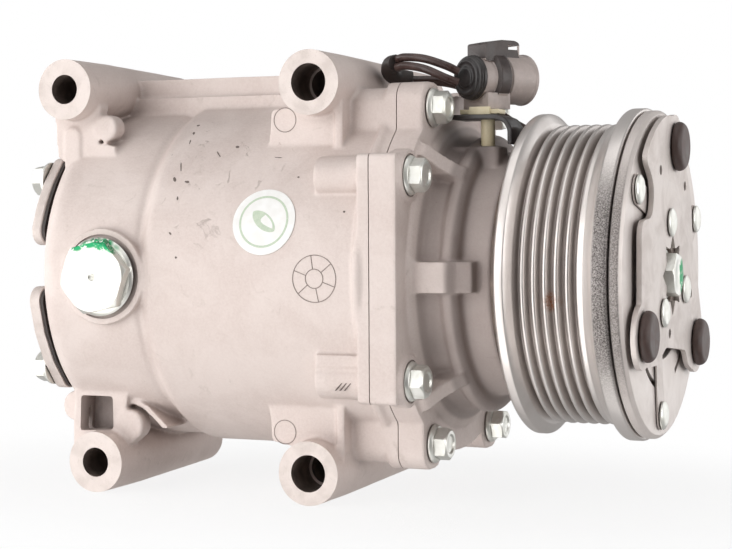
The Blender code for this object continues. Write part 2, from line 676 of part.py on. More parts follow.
def clutch(turn, slide):
    """Armature, its three leaf springs and rivets, hub with dampers, and the centre bolt."""
    low, high = ARMATURE_X
    armature = lathe([(low, 27.0), (low, ARMATURE_R), (high - 1.0, ARMATURE_R), (high, ARMATURE_R - 1.0),
                      (high, 27.0)], BODY_STEPS)
    cuts = []
    for k in range(3):
        start = OUTER_RIVET_ANGLE + 33.0 + 120.0 * k
        arc = [(35.0, 35.0), (35.0, 37.0), (42.0, 37.0), (42.0, 35.0)]
        cuts.append(lathe(arc, 7, sweep=(start, start + 82.0)))
        y, z = polar(OUTER_RIVET_RING_R, OUTER_RIVET_ANGLE + 120.0 * k)
        cuts.append(rod(y, z, RIVET_HOLE_R, 35.0, 42.0, steps=10))
    finish(cut(armature, *cuts), "armature_plate", "zinc", slide)

    hub = hub_plate_outline()
    boss = lathe([(28.5, 7.3), (28.5, 12.4), (HUB_PLATE_X[0] + 0.8, 12.4), (HUB_PLATE_X[0] + 0.8, 9.0),
                  (39.1, 9.0), (39.1, 7.3)], 24)
    hub = cut(hub, rod(0, 0, 9.0, 30.0, 50.0, steps=24))
    hub = join(hub, boss)
    star = [polar(9.0 if k % 2 else 13.2, 22.5 * k) for k in range(16)]
    cuts = [prism(star, 41.0, 46.0)]
    cuts += [rod(y, z, 1.6, 40.0, 46.0, steps=8)
             for y, z in ((-16.0, 33.2), (17.0, 28.6), (-4.0, -18.6), (26.0, -7.0))]
    for k in range(3):
        y, z = polar(DAMPER_RING_R, DAMPER_ANGLE + 120.0 * k)
        cuts.append(rod(y, z, 4.4, 40.0, 46.0, steps=12))
        y, z = polar(INNER_RIVET_RING_R, INNER_RIVET_ANGLE + 120.0 * k)
        cuts.append(rod(y, z, RIVET_HOLE_R, 40.0, 46.0, steps=10))
    finish(cut(hub, *cuts), "clutch_hub", "steel", turn)

    for k in range(3):
        leaf_spring(k, slide)
        y, z = polar(OUTER_RIVET_RING_R, OUTER_RIVET_ANGLE + 120.0 * k)
        finish(rivet(y, z, (36.9, 1.9, 0), (41.1, 4.6, 1.5)), f"outer_rivet_{k + 1}", "zinc", slide)
        y, z = polar(INNER_RIVET_RING_R, INNER_RIVET_ANGLE + 120.0 * k)
        finish(rivet(y, z, (39.5, 3.6, 0.6), (43.4, 4.6, 1.4)), f"inner_rivet_{k + 1}", "zinc", turn)
        y, z = polar(DAMPER_RING_R, DAMPER_ANGLE + 120.0 * k)
        stud = lathe([(40.3, 0), (40.3, 6.0), (41.2, 6.0), (41.2, 4.0), (43.4, 4.0), (43.4, 7.9), (45.6, 7.9),
                      (46.6, 6.4), (46.6, 0)], 14)
        finish(moved(stud, 0.0, y, z), f"damper_{k + 1}", "rubber", turn)

    stem = lathe([(24.5, 0), (24.5, 3.8), (39.2, 3.8), (39.2, 8.6), (40.6, 8.6), (40.6, 0)], 16)
    head = prism(circle(0, 0, 7.4, 6), 40.2, NOSE_X)
    finish(join(stem, head), "centre_bolt", "zinc", turn)


def coil(machine):
    """Field coil: an open ring on a plate, held on the head by the plate's screws behind the pulley."""
    outline = [(-4.1, 20.5), (-4.1, 42.6), (-1.4, 42.6), (-1.4, 42.9), (29.5, 42.9), (29.5, 32.1),
               (-1.4, 32.1), (-1.4, 20.5)]
    finish(lathe(outline, 24), "field_coil", "copper", machine)
    ring = lathe([(25.5, 16.3), (25.5, 19.4), (26.7, 19.4), (26.7, 16.3)], 24)
    finish(ring, "bearing_snap_ring", "steel", machine)


# ---------------------------------------------------------------- connector and leads

def placed_connector(thing):
    """Turn a solid built along X to the connector's own axis and move it there."""
    turn = Matrix.Rotation(math.radians(CONNECTOR_TURN), 4, "Z")
    thing.data.transform(Matrix.Translation(Vector(CONNECTOR_AT) * MM) @ turn)
    return thing


def connector(machine):
    """Two-pin connector on its bracket, with the grommet that the leads come out of."""
    grommet = lathe([(0.0, 0), (0.0, 5.6), (0.8, 7.0), (3.2, 7.4), (3.7, 7.0), (3.7, 0)], 20)
    finish(placed_connector(grommet), "connector_grommet", "rubber", machine)
    socket = [(4.0, 0), (4.0, 6.6), (9.0, 6.6), (9.0, 8.2), (25.0, 8.2), (25.0, 6.6), (12.0, 6.6), (12.0, 0)]
    body = lathe(socket, 20)
    latch = block((5.0, -4.6, 5.4), (13.0, 4.6, 11.2))
    keeper = block((11.5, -4.6, 7.0), (19.5, 4.6, 12.4))
    foot = block((4.6, -6.2, -10.2), (14.0, 6.2, -5.0))
    blades = [block((11.5, v - 0.9, -2.2), (15.5, v + 0.9, 2.2)) for v in (-2.6, 2.6)]
    body = join(body, latch, keeper, foot, *blades)
    body = cut(body, block((13.6, -6.0, 9.4), (17.4, 6.0, 10.9)))
    finish(placed_connector(body), "connector_body", "plastic", machine)


def bracket(machine):
    """Sheet bracket under the connector, and the ivory clip that pins it to the head's lug."""
    strip = [(-24.5, 50.2), (-24.5, 51.8), (-9.0, 51.8), (-5.6, 50.4), (-3.6, 47.4), (-3.6, 42.0),
             (-5.2, 42.0), (-5.2, 46.8), (-6.6, 49.2), (-9.4, 50.2)]
    sheet = prism(strip, -22.0, -9.0, "Y")
    sheet = cut(sheet, rod(*CLIP_AT, 2.7, 45.0, 55.0, "Z", 12))
    finish(sheet, "connector_bracket", "plastic", machine)
    post = lathe([(38.2, 0), (38.2, 1.7), (40.2, 2.3), (52.6, 2.3), (52.6, 0)], 14)
    post.data.transform(Matrix.Rotation(math.radians(-90.0), 4, "Y"))
    post = moved(post, *CLIP_AT, 0.0)
    head = block((-22.4, -18.5, 52.1), (-9.2, -11.5, 53.6))
    finish(join(post, head), "bracket_clip", "ivory", machine)


def smooth_route(route, samples):
    """Points of a smooth curve through the route's own points."""
    spots = [Vector(p) for p in route]
    spots = [2 * spots[0] - spots[1]] + spots + [2 * spots[-1] - spots[-2]]
    line = []
    for k in range(1, len(spots) - 2):
        a, b, c, d = spots[k - 1:k + 3]
        for s in range(samples):
            t = s / samples
            line.append(0.5 * (2 * b + (c - a) * t + (2 * a - 5 * b + 4 * c - d) * t ** 2
                               + (3 * b - a - 3 * c + d) * t ** 3))
    line.append(spots[-2])
    return line


def lead(name, route, radius, kind, machine):
    """A flexible lead as a bevelled curve with filled caps."""
    line = smooth_route(route, 3)
    curve = bpy.data.curves.new(name, "CURVE")
    curve.dimensions = "3D"
    curve.bevel_depth = radius * MM
    curve.bevel_resolution = 2
    curve.use_fill_caps = True
    spline = curve.splines.new("POLY")
    spline.points.add(len(line) - 1)
    for point, spot in zip(spline.points, line):
        point.co = (*(spot * MM), 1.0)
    thing = bpy.data.objects.new(name, curve)
    bpy.context.scene.collection.objects.link(thing)
    curve.materials.append(MATERIALS[kind])
    thing.parent = machine
    return thing


def leads(machine):
    """Two wires from the grommet, the sleeve that turns them back, and the lead down to the coil."""
    lead("lead_wire_upper", UPPER_WIRE, LEAD_R, "wire", machine)
    lead("lead_wire_lower", LOWER_WIRE, LEAD_R, "wire", machine)
    lead("lead_sleeve", SLEEVE, 3.0, "rubber", machine)
    lead("coil_lead", COIL_LEAD, 1.6, "wire", machine)


def clear_scene():
    """Start from an empty scene."""
    for old in list(bpy.data.objects):
        bpy.data.objects.remove(old, do_unlink=True)


clear_scene()
MATERIALS = {kind: make_material(kind) for kind in LOOKS}
MACHINE = axis_empty("machine_axis", -NOSE_X, 0.0, 0.0)
ORBIT = axis_empty("crank_pin_axis", 0.0, ORBIT_R, 0.0, MACHINE)
SPIN = axis_empty("pulley_axis", 0.0, 0.0, 0.0, MACHINE)
TURN = axis_empty("shaft_axis", 0.0, 0.0, 0.0, MACHINE)
SLIDE = axis_empty("armature_axis", 0.0, 0.0, 0.0, MACHINE)

rear_housing(MACHINE)
front_housing(MACHINE)
flange_fasteners(MACHINE)
fill_plug(MACHINE)
port_covers(MACHINE)
scroll_set(MACHINE, ORBIT)
shaft_line(TURN, ORBIT)
ball_bearing("main_bearing", MAIN_BEARING_X, (12.5, 15.8), (19.2, 3.0), (22.6, 26.0), MACHINE, TURN)
ball_bearing("pulley_bearing", PULLEY_BEARING_X, (17.8, 20.4), (22.4, 1.9), (24.4, 27.0), MACHINE, SPIN)
pulley(SPIN)
coil(MACHINE)
clutch(TURN, SLIDE)
connector(MACHINE)
bracket(MACHINE)
leads(MACHINE)
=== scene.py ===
"""Looks of a car's air-conditioning compressor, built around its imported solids.

Lengths are in millimetres along the machine's own axes, as in the solids: X counts from the rear
edge of the belt pulley towards the clutch, Y and Z are measured from the shaft, -Y is the side with
the fill plug and +Z is up. at() turns them into the frame's metres.
"""
import json
import math

import bmesh
import bpy
from mathutils import Matrix, Quaternion, Vector


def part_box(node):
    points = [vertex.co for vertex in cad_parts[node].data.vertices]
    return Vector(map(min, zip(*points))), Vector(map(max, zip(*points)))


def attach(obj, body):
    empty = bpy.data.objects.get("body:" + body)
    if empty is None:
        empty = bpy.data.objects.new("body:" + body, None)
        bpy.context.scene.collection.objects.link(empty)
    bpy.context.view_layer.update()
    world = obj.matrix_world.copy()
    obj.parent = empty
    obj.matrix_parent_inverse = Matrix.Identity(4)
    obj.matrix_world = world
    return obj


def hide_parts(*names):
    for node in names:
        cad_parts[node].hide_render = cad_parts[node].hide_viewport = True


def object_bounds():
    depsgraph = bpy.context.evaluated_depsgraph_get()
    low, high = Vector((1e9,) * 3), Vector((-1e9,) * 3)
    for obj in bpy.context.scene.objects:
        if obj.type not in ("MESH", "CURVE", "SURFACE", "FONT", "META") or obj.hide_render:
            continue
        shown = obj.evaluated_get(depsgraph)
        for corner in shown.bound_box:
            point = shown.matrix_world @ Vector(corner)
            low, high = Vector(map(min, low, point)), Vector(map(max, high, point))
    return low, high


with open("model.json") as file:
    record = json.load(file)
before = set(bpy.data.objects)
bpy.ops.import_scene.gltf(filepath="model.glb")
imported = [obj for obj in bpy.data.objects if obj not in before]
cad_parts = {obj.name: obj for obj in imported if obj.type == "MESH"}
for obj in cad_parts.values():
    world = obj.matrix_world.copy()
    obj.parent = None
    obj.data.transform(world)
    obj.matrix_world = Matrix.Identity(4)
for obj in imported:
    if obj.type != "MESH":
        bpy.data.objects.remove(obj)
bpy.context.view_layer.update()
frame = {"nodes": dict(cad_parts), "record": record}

MM = 0.001
ORIGIN_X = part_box("pulley_rotor")[0].x
FINE = "_fine"

# Shaft line and pulley
NOSE_X = 45.0
PARTING_X = -37.6
REAR_X = -160.0
GROOVES = 6
GROOVE_PITCH = 3.56
FIRST_VALLEY_X = 6.2
CREST_R = 48.6
VALLEY_R = 45.7
FRONT_FLANGE_R = 53.4
ROTOR_FACE_X = 35.6

# Clutch
ARMATURE_X = (36.1, 40.0)
ARMATURE_R = 52.6
HUB_PLATE_X = (41.5, 43.1)
DAMPER_RING_R = 41.3
DAMPER_ANGLE = 84.8
OUTER_RIVET_RING_R = 45.0
OUTER_RIVET_ANGLE = 143.0
INNER_RIVET_RING_R = 17.2
INNER_RIVET_ANGLE = 102.0
RIVET_HOLE_R = 2.2

# Housings
BARREL_R = 59.2
REAR_SECTION_R = 57.6
CAVITY_R = 52.0
CAVITY_END_X = -109.0
CHAMBER_R = 41.0
CHAMBER_END_X = -151.0
FLANGE_FRONT_X = -28.5
FLANGE_SIDE_Y = 59.6
NECK_R = 40.5
SPIGOT_R = 51.6
PLUG_X = -133.2
EAR_NEAR_Y = -49.0
EARS = {
    "rear_upper": (-152.8, 62.5, 10.2, 4.95, 28.0),
    "rear_lower": (-142.3, -63.0, 10.2, 4.95, 26.0),
    "front_upper": (-62.4, 62.0, 10.4, 6.0, 50.0),
    "front_lower": (-63.4, -62.8, 10.4, 6.0, 45.0),
}
FLANGE_BOLTS = [(y, z) for y in (-50.0, 50.0) for z in (32.0, -32.0)]
FLANGE_BOLTS += [(y, z) for y in (-28.0, 28.0) for z in (54.0, -54.0)]
PORT_AT = (-14.0, 22.0)
COVER_BOLT_AT = (-37.0, 32.2)
COVER_RING_R = 48.6
COVER_CORNER_R = 5.0

# Pits in the barrel's skin: station, angle above the near side, half length, half width, tilt
PITS = [
    (-111.3, 57.8, 0.6, 0.5, 20.0), (-110.9, 53.1, 0.8, 0.4, 70.0), (-110.3, 48.5, 1.2, 0.2, 80.0),
    (-109.5, 37.3, 2.0, 0.22, 72.0), (-110.3, 32.4, 1.0, 0.5, 60.0), (-105.4, 31.4, 0.9, 0.42, 10.0),
    (-107.4, 25.5, 0.7, 0.3, 80.0), (-108.0, 13.8, 0.6, 0.3, 40.0), (-105.2, 6.2, 0.4, 0.35, 0.0),
    (-97.3, 42.4, 1.7, 0.2, 50.0), (-91.5, 45.5, 0.7, 0.5, 20.0), (-74.9, 40.4, 1.4, 0.15, 5.0),
    (-65.6, 32.6, 0.4, 0.3, 0.0), (-47.4, 20.6, 0.4, 0.35, 0.0),
]

# Connector and leads, as routed in the solids
CONNECTOR_AT = (-21.5, -16.0, 64.2)
CONNECTOR_TURN = 60.0
CLIP_AT = (-14.0, -15.0)
UPPER_WIRE = [(-23.2, -17.3, 66.0), (-27.0, -19.2, 68.0), (-34.0, -20.5, 70.4), (-41.0, -19.4, 71.2),
              (-44.4, -17.6, 70.9)]
LOWER_WIRE = [(-22.8, -19.3, 62.4), (-26.5, -21.6, 64.0), (-33.0, -22.6, 66.9), (-40.0, -21.0, 68.3),
              (-44.2, -18.6, 68.1)]
SLEEVE = [(-44.9, -17.6, 69.5), (-47.6, -15.6, 69.1), (-49.2, -12.2, 67.2), (-48.2, -8.6, 65.6),
          (-44.6, -5.6, 64.8)]
COIL_LEAD = [(-44.0, -5.2, 64.6), (-36.0, -1.0, 64.4), (-28.0, 1.4, 62.2), (-20.5, 1.6, 56.8),
             (-13.0, 1.0, 51.2), (-7.4, 0.4, 48.0), (-3.9, 0.0, 46.0), (-2.9, 0.0, 43.3)]

# Camera: where it looks, in machine millimetres, and from where
TARGET = (-63.67, 0.0, -0.8)
AZIMUTH = 23.02
ELEVATION = 2.05
ROLL = -0.34
DISTANCE = 611.5
LENS = 87.5


def at(x, y, z):
    """A point in the frame, in metres, from machine millimetres."""
    return Vector((ORIGIN_X + x * MM, y * MM, z * MM))


def polar(radius, degrees):
    """Y and Z of a point at a radius and an angle about the shaft."""
    angle = math.radians(degrees)
    return radius * math.cos(angle), radius * math.sin(angle)


def circle(cy, cz, radius, steps, start=0.0):
    """Points round a circle."""
    turn = 2.0 * math.pi / steps
    first = math.radians(start)
    return [(cy + radius * math.cos(first + turn * k), cz + radius * math.sin(first + turn * k))
            for k in range(steps)]


# ---------------------------------------------------------------- solids

def solid(points, faces):
    """A temporary closed object from machine points and faces, its normals made to point out."""
    mesh = bpy.data.meshes.new("solid")
    mesh.from_pydata([at(*p) for p in points], [], faces)
    shape = bmesh.new()
    shape.from_mesh(mesh)
    bmesh.ops.recalc_face_normals(shape, faces=shape.faces)
    shape.to_mesh(mesh)
    shape.free()
    thing = bpy.data.objects.new("solid", mesh)
    bpy.context.scene.collection.objects.link(thing)
    return thing


def rounded(outline, radius, steps=3):
    """Round the corners of a closed outline; corners on the axis stay."""
    result = []
    for k, corner in enumerate(outline):
        here = Vector(corner)
        before = Vector(outline[k - 1]) - here
        after = Vector(outline[(k + 1) % len(outline)]) - here
        if abs(corner[1]) < 1e-6:
            result.append(tuple(corner))
            continue
        start = here + before.normalized() * min(radius, before.length * 0.45)
        end = here + after.normalized() * min(radius, after.length * 0.45)
        for s in range(steps + 1):
            t = s / steps
            result.append(tuple((1 - t) ** 2 * start + 2 * t * (1 - t) * here + t * t * end))
    return result


def lathe(outline, steps=96, sweep=None):
    """Turn a closed (x, radius) outline about the X axis, all the way or through sweep degrees."""
    points, rows, faces = [], [], []
    start, end = sweep if sweep else (0.0, 360.0)
    count = steps + 1 if sweep else steps
    for x, radius in outline:
        row = []
        for k in range(1 if abs(radius) < 1e-9 else count):
            y, z = polar(radius, start + (end - start) * k / steps)
            row.append(len(points))
            points.append((x, y, z))
        rows.append(row)
    for i, row in enumerate(rows):
        other = rows[(i + 1) % len(rows)]
        if len(row) == 1 and len(other) == 1:
            continue
        for k in range(steps):
            n = (k + 1) % count
            if len(row) == 1:
                faces.append((row[0], other[k], other[n]))
            elif len(other) == 1:
                faces.append((row[k], row[n], other[0]))
            else:
                faces.append((row[k], row[n], other[n], other[k]))
    if sweep:
        faces.append([row[0] for row in rows])
        faces.append([row[-1] for row in rows])
    return solid(points, faces)


def prism(outline, low, high, axis="X"):
    """Extrude an outline along an axis: (y, z) on X, (x, z) on Y, (x, y) on Z."""
    place = {
        "X": lambda a, b, c: (c, a, b),
        "Y": lambda a, b, c: (a, c, b),
        "Z": lambda a, b, c: (a, b, c),
    }[axis]
    count = len(outline)
    points = [place(a, b, low) for a, b in outline] + [place(a, b, high) for a, b in outline]
    faces = [list(range(count)), list(range(count, 2 * count))]
    faces += [(k, (k + 1) % count, (k + 1) % count + count, k + count) for k in range(count)]
    return solid(points, faces)


def rod(a, b, radius, low, high, axis="X", steps=40):
    """A round bar along an axis."""
    return prism(circle(a, b, radius, steps), low, high, axis)


def block(low, high):
    """A box between two corners."""
    outline = [(low[1], low[2]), (high[1], low[2]), (high[1], high[2]), (low[1], high[2])]
    return prism(outline, low[0], high[0])


def hull(corners, radius, steps=40):
    """The convex outline round equal circles at the corners."""
    spots = sorted(p for cy, cz in corners for p in circle(cy, cz, radius, steps))
    halves = []
    for ordered in (spots, spots[::-1]):
        chain = []
        for p in ordered:
            while len(chain) > 1:
                a, b = chain[-2], chain[-1]
                if (b[0] - a[0]) * (p[1] - a[1]) - (b[1] - a[1]) * (p[0] - a[0]) > 1e-6:
                    break
                chain.pop()
            chain.append(p)
        halves += chain[:-1]
    return halves


def transformed(thing, matrix):
    """Move a solid's mesh by a matrix given in machine millimetres."""
    move = Matrix.Translation(at(0, 0, 0))
    scale = Matrix.Scale(MM, 4)
    thing.data.transform(move @ scale @ matrix @ scale.inverted() @ move.inverted())
    return thing


def across_shaft(thing, x, z):
    """Turn a solid built along X so that it runs along +Y, through a station and height."""
    return transformed(thing, Matrix.Translation(Vector((x, 0, z))) @ Matrix.Rotation(math.radians(90.0), 4, "Z"))


def moved(thing, x, y, z):
    """Shift a solid by millimetres."""
    return transformed(thing, Matrix.Translation(Vector((x, y, z))))


def evaluated_mesh(thing):
    """The mesh of an object with its modifiers applied."""
    bpy.context.view_layer.update()
    graph = bpy.context.evaluated_depsgraph_get()
    return bpy.data.meshes.new_from_object(thing.evaluated_get(graph))


def apply_modifiers(thing):
    """Bake an object's modifiers into its mesh."""
    result = evaluated_mesh(thing)
    thing.modifiers.clear()
    thing.data = result
    return thing


def discard(things):
    """Remove helper objects."""
    for thing in things:
        bpy.data.objects.remove(thing, do_unlink=True)


def merge(base, tools, operation, solver="EXACT"):
    """Apply one Boolean after another to base, and remove the tools."""
    for tool in tools:
        step = base.modifiers.new("step", "BOOLEAN")
        step.operation = operation
        step.solver = solver
        step.object = tool
    apply_modifiers(base)
    discard(tools)
    return base


def join(base, *tools):
    """Union of solids."""
    return merge(base, tools, "UNION")


def cut(base, *tools):
    """Take solids away from base."""
    return merge(base, tools, "DIFFERENCE")


def clip(base, tool):
    """Keep what base and tool share."""
    return merge(base, [tool], "INTERSECT")


def bevel(thing, width, segments=2, angle=35.0):
    """Round the sharp edges of a clean solid."""
    shape = bmesh.new()
    shape.from_mesh(thing.data)
    bmesh.ops.remove_doubles(shape, verts=shape.verts, dist=0.002 * MM)
    bmesh.ops.dissolve_limit(shape, angle_limit=math.radians(0.3), verts=shape.verts, edges=shape.edges)
    shape.to_mesh(thing.data)
    shape.free()
    edge = thing.modifiers.new("edge", "BEVEL")
    edge.width = width * MM
    edge.segments = segments
    edge.limit_method = "ANGLE"
    edge.angle_limit = math.radians(angle)
    return apply_modifiers(thing)


def cast(things, voxel, passes, wobble=0.0):
    """One casting from overlapping solids: remeshed together, its edges and corners smoothed round."""
    base = things[0]
    shape = bmesh.new()
    for thing in things:
        shape.from_mesh(thing.data)
    shape.to_mesh(base.data)
    shape.free()
    discard(things[1:])
    net = base.modifiers.new("net", "REMESH")
    net.mode = "VOXEL"
    net.voxel_size = voxel * MM
    soft = base.modifiers.new("soft", "SMOOTH")
    soft.factor = 0.5
    soft.iterations = passes
    if wobble:
        texture = bpy.data.textures.new("casting", "CLOUDS")
        texture.noise_scale = 0.014
        uneven = base.modifiers.new("uneven", "DISPLACE")
        uneven.texture = texture
        uneven.texture_coords = "LOCAL"
        uneven.mid_level = 0.5
        uneven.strength = wobble * MM
    return apply_modifiers(base)


def finish(thing, name, look, body, nodes=(), angle=30.0):
    """Name a piece, give it its material, make it ride on its body and stand for its nodes."""
    thing.name = name
    thing.data.name = name
    if not thing.data.materials:
        thing.data.materials.append(None)
    thing.data.materials[0] = LOOKS[look]
    if thing.type == "MESH":
        thing.data.shade_smooth()
        thing.data.set_sharp_from_angle(angle=math.radians(angle))
    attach(thing, body)
    if nodes:
        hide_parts(*nodes)
    return thing


def paint(thing, look, test):
    """Give a second material to the faces whose centre and normal, in machine millimetres, pass a test."""
    index = len(thing.data.materials)
    thing.data.materials.append(LOOKS[look])
    for face in thing.data.polygons:
        x, y, z = face.center
        if test((x - ORIGIN_X) / MM, y / MM, z / MM, face.normal):
            face.material_index = index


# ---------------------------------------------------------------- materials

class Paint:
    """Builds one procedural material; every texture is read in the object's own coordinates."""

    def __init__(self, name, roughness, metallic, **sockets):
        self.material = bpy.data.materials.new(name)
        self.material.use_nodes = True
        self.tree = self.material.node_tree
        self.shader = self.tree.nodes["Principled BSDF"]
        self.shader.inputs["Roughness"].default_value = roughness
        self.shader.inputs["Metallic"].default_value = metallic
        for socket, value in sockets.items():
            self.shader.inputs[socket.replace("_", " ")].default_value = value
        self.coordinates = self.node("ShaderNodeTexCoord").outputs["Object"]
        self.height = None

    def node(self, kind, **settings):
        made = self.tree.nodes.new(kind)
        for key, value in settings.items():
            setattr(made, key, value)
        return made

    def link(self, source, target):
        self.tree.links.new(source, target)

    def noise(self, scale, detail=3.0, roughness=0.55, distortion=0.0, vector=None):
        """A noise value; scale is in features per metre."""
        made = self.node("ShaderNodeTexNoise")
        made.inputs["Scale"].default_value = scale
        made.inputs["Detail"].default_value = detail
        made.inputs["Roughness"].default_value = roughness
        made.inputs["Distortion"].default_value = distortion
        self.link(vector or self.coordinates, made.inputs["Vector"])
        return made.outputs["Fac"]

    def cells(self, scale):
        """The distance to the nearest point of a scattered set."""
        made = self.node("ShaderNodeTexVoronoi")
        made.inputs["Scale"].default_value = scale
        self.link(self.coordinates, made.inputs["Vector"])
        return made.outputs["Distance"]

    def ramp(self, source, low, high, first=0.0, last=1.0):
        """Rescale a value from low..high to first..last, with soft ends."""
        made = self.node("ShaderNodeMapRange", interpolation_type="SMOOTHSTEP")
        for socket, value in (("From Min", low), ("From Max", high), ("To Min", first), ("To Max", last)):
            made.inputs[socket].default_value = value
        self.link(source, made.inputs["Value"])
        return made.outputs["Result"]

    def math(self, operation, a, b=0.0):
        made = self.node("ShaderNodeMath", operation=operation)
        for socket, value in zip(made.inputs, (a, b)):
            if isinstance(value, (int, float)):
                socket.default_value = value
            else:
                self.link(value, socket)
        return made.outputs[0]

    def mix(self, factor, a, b, blend="MIX"):
        """Mix two colours; each is a colour or a socket."""
        made = self.node("ShaderNodeMix", data_type="RGBA", blend_type=blend)
        for socket, value in ((made.inputs[0], factor), (made.inputs[6], a), (made.inputs[7], b)):
            if isinstance(value, (int, float)):
                socket.default_value = value
            elif isinstance(value, tuple):
                socket.default_value = (*value, 1.0)
            else:
                self.link(value, socket)
        return made.outputs[2]

    def place(self, centre, radius, soft):
        """1 inside a ball round a machine point, 0 outside it."""
        made = self.node("ShaderNodeVectorMath", operation="DISTANCE")
        self.link(self.coordinates, made.inputs[0])
        made.inputs[1].default_value = at(*centre)
        return self.ramp(made.outputs["Value"], (radius - soft) * MM, (radius + soft) * MM, 1.0, 0.0)

    def turned(self):
        """Coordinates that are constant round the shaft: a lathe's marks."""
        parts = self.node("ShaderNodeSeparateXYZ")
        self.link(self.coordinates, parts.inputs[0])
        flat = self.node("ShaderNodeCombineXYZ")
        self.link(parts.outputs["Y"], flat.inputs["Y"])
        self.link(parts.outputs["Z"], flat.inputs["Z"])
        size = self.node("ShaderNodeVectorMath", operation="LENGTH")
        self.link(flat.outputs[0], size.inputs[0])
        line = self.node("ShaderNodeCombineXYZ")
        self.link(parts.outputs["X"], line.inputs["X"])
        self.link(size.outputs["Value"], line.inputs["Y"])
        return line.outputs[0], size.outputs["Value"], parts.outputs["X"]

    def recess(self, reach):
        """1 on open surfaces, less in corners and hollows."""
        made = self.node("ShaderNodeAmbientOcclusion", samples=6)
        made.inputs["Distance"].default_value = reach * MM
        return made.outputs["AO"]

    def bump(self, source, depth):
        """Add a relief of a depth in millimetres."""
        made = self.node("ShaderNodeBump")
        made.inputs["Strength"].default_value = 1.0
        made.inputs["Distance"].default_value = depth * MM
        self.link(source, made.inputs["Height"])
        if self.height:
            self.link(self.height, made.inputs["Normal"])
        self.height = made.outputs["Normal"]

    def done(self, colour, roughness=None):
        if isinstance(colour, tuple):
            self.shader.inputs["Base Color"].default_value = (*colour, 1.0)
        else:
            self.link(colour, self.shader.inputs["Base Color"])
        if roughness is not None:
            self.link(roughness, self.shader.inputs["Roughness"])
        if self.height:
            self.link(self.height, self.shader.inputs["Normal"])
        return self.material


def cast_aluminium():
    """Sand-cast alloy: warm pale grey, mottled, with fine grain, pits and stains; painted shade in its corners, on the
    neck behind the flange and in two hollows.
    """
    paint_ = Paint("cast_aluminium", 0.58, 0.18)
    blotch = paint_.noise(38.0, 5.0, 0.6, 0.6)
    colour = paint_.mix(paint_.ramp(blotch, 0.36, 0.66), (0.62, 0.525, 0.49), (0.70, 0.61, 0.575))
    stain = paint_.noise(120.0, 6.0, 0.65, 1.4)
    colour = paint_.mix(paint_.ramp(stain, 0.58, 0.74, 0.0, 0.5), colour, (0.48, 0.40, 0.36))
    grain = paint_.noise(1300.0, 3.0, 0.6)
    colour = paint_.mix(paint_.ramp(grain, 0.3, 0.7, 0.0, 0.22), colour, (0.80, 0.73, 0.69))
    pit_keep = paint_.ramp(paint_.noise(60.0, 2.0), 0.53, 0.66)
    pits = paint_.math("MULTIPLY", paint_.ramp(paint_.cells(170.0), 0.02, 0.055, 1.0, 0.0), pit_keep)
    colour = paint_.mix(paint_.math("MULTIPLY", pits, 0.65), colour, (0.19, 0.145, 0.125))
    scuffed = paint_.place((-96.0, -46.0, 34.0), 24.0, 13.0)
    flow = paint_.noise(150.0, 8.0, 0.72, 1.2)
    streak = paint_.math("MULTIPLY", paint_.ramp(flow, 0.60, 0.66), scuffed)
    colour = paint_.mix(paint_.math("MULTIPLY", streak, 0.4), colour, (0.40, 0.33, 0.30))
    # painted shade: ambient occlusion darkens the colour in corners and recesses
    painted_shade = paint_.ramp(paint_.recess(6.0), 0.2, 0.85, 0.6, 0.0)
    colour = paint_.mix(painted_shade, colour, (0.27, 0.21, 0.19))
    _, size, station = paint_.turned()
    # painted shadow: the flange's shadow on the neck, darker at radii under 49.6 mm in front of the flange
    neck = paint_.math("MULTIPLY", paint_.ramp(size, 48.0 * MM, 49.6 * MM, 0.5, 0.0),
                       paint_.ramp(station, ORIGIN_X - 28.4 * MM, ORIGIN_X - 27.6 * MM))
    colour = paint_.mix(neck, colour, (0.20, 0.155, 0.145))
    # painted shade: two dark spots in shadowed hollows, behind the neck and in the pocket by the lower rear ear
    for centre, reach, depth in (((-19.0, -20.0, 44.0), 10.0, 0.7), ((-145.0, -32.0, -49.0), 9.0, 0.6)):
        hollow = paint_.math("MULTIPLY", paint_.place(centre, reach, 5.0), depth)
        colour = paint_.mix(hollow, colour, (0.09, 0.07, 0.065))
    paint_.bump(paint_.noise(420.0, 4.0, 0.6), 0.10)
    paint_.bump(grain, 0.045)
    paint_.bump(streak, 0.12)
    paint_.bump(paint_.math("SUBTRACT", 1.0, pits), 0.25)
    return paint_.done(colour, paint_.ramp(blotch, 0.3, 0.7, 0.52, 0.66))


def machined_alloy():
    """Milled alloy face: pale and satin, with fine tool marks and a few scratches."""
    paint_ = Paint("machined_alloy", 0.55, 0.3)
    line, _, _ = paint_.turned()
    marks = paint_.noise(1500.0, 2.0, vector=line)
    blotch = paint_.noise(160.0, 5.0, 0.6, 0.5)
    colour = paint_.mix(paint_.ramp(blotch, 0.4, 0.68), (0.68, 0.605, 0.57), (0.61, 0.54, 0.505))
    scratch = paint_.noise(420.0, 2.0, 0.5, 6.0)
    colour = paint_.mix(paint_.ramp(scratch, 0.64, 0.7, 0.0, 0.4), colour, (0.45, 0.38, 0.34))
    paint_.bump(marks, 0.02)
    paint_.bump(scratch, 0.04)
    return paint_.done(colour, paint_.ramp(blotch, 0.3, 0.7, 0.48, 0.62))


def shaded_bore_alloy():
    """Painted shade for the inside of a bore and for the hub's boss: dark alloy, as if unlit."""
    paint_ = Paint("shaded_bore_alloy", 0.5, 0.5)
    colour = paint_.mix(paint_.ramp(paint_.noise(220.0, 4.0), 0.35, 0.7), (0.16, 0.125, 0.11), (0.30, 0.24, 0.21))
    paint_.bump(paint_.noise(900.0, 3.0), 0.04)
    return paint_.done(colour)


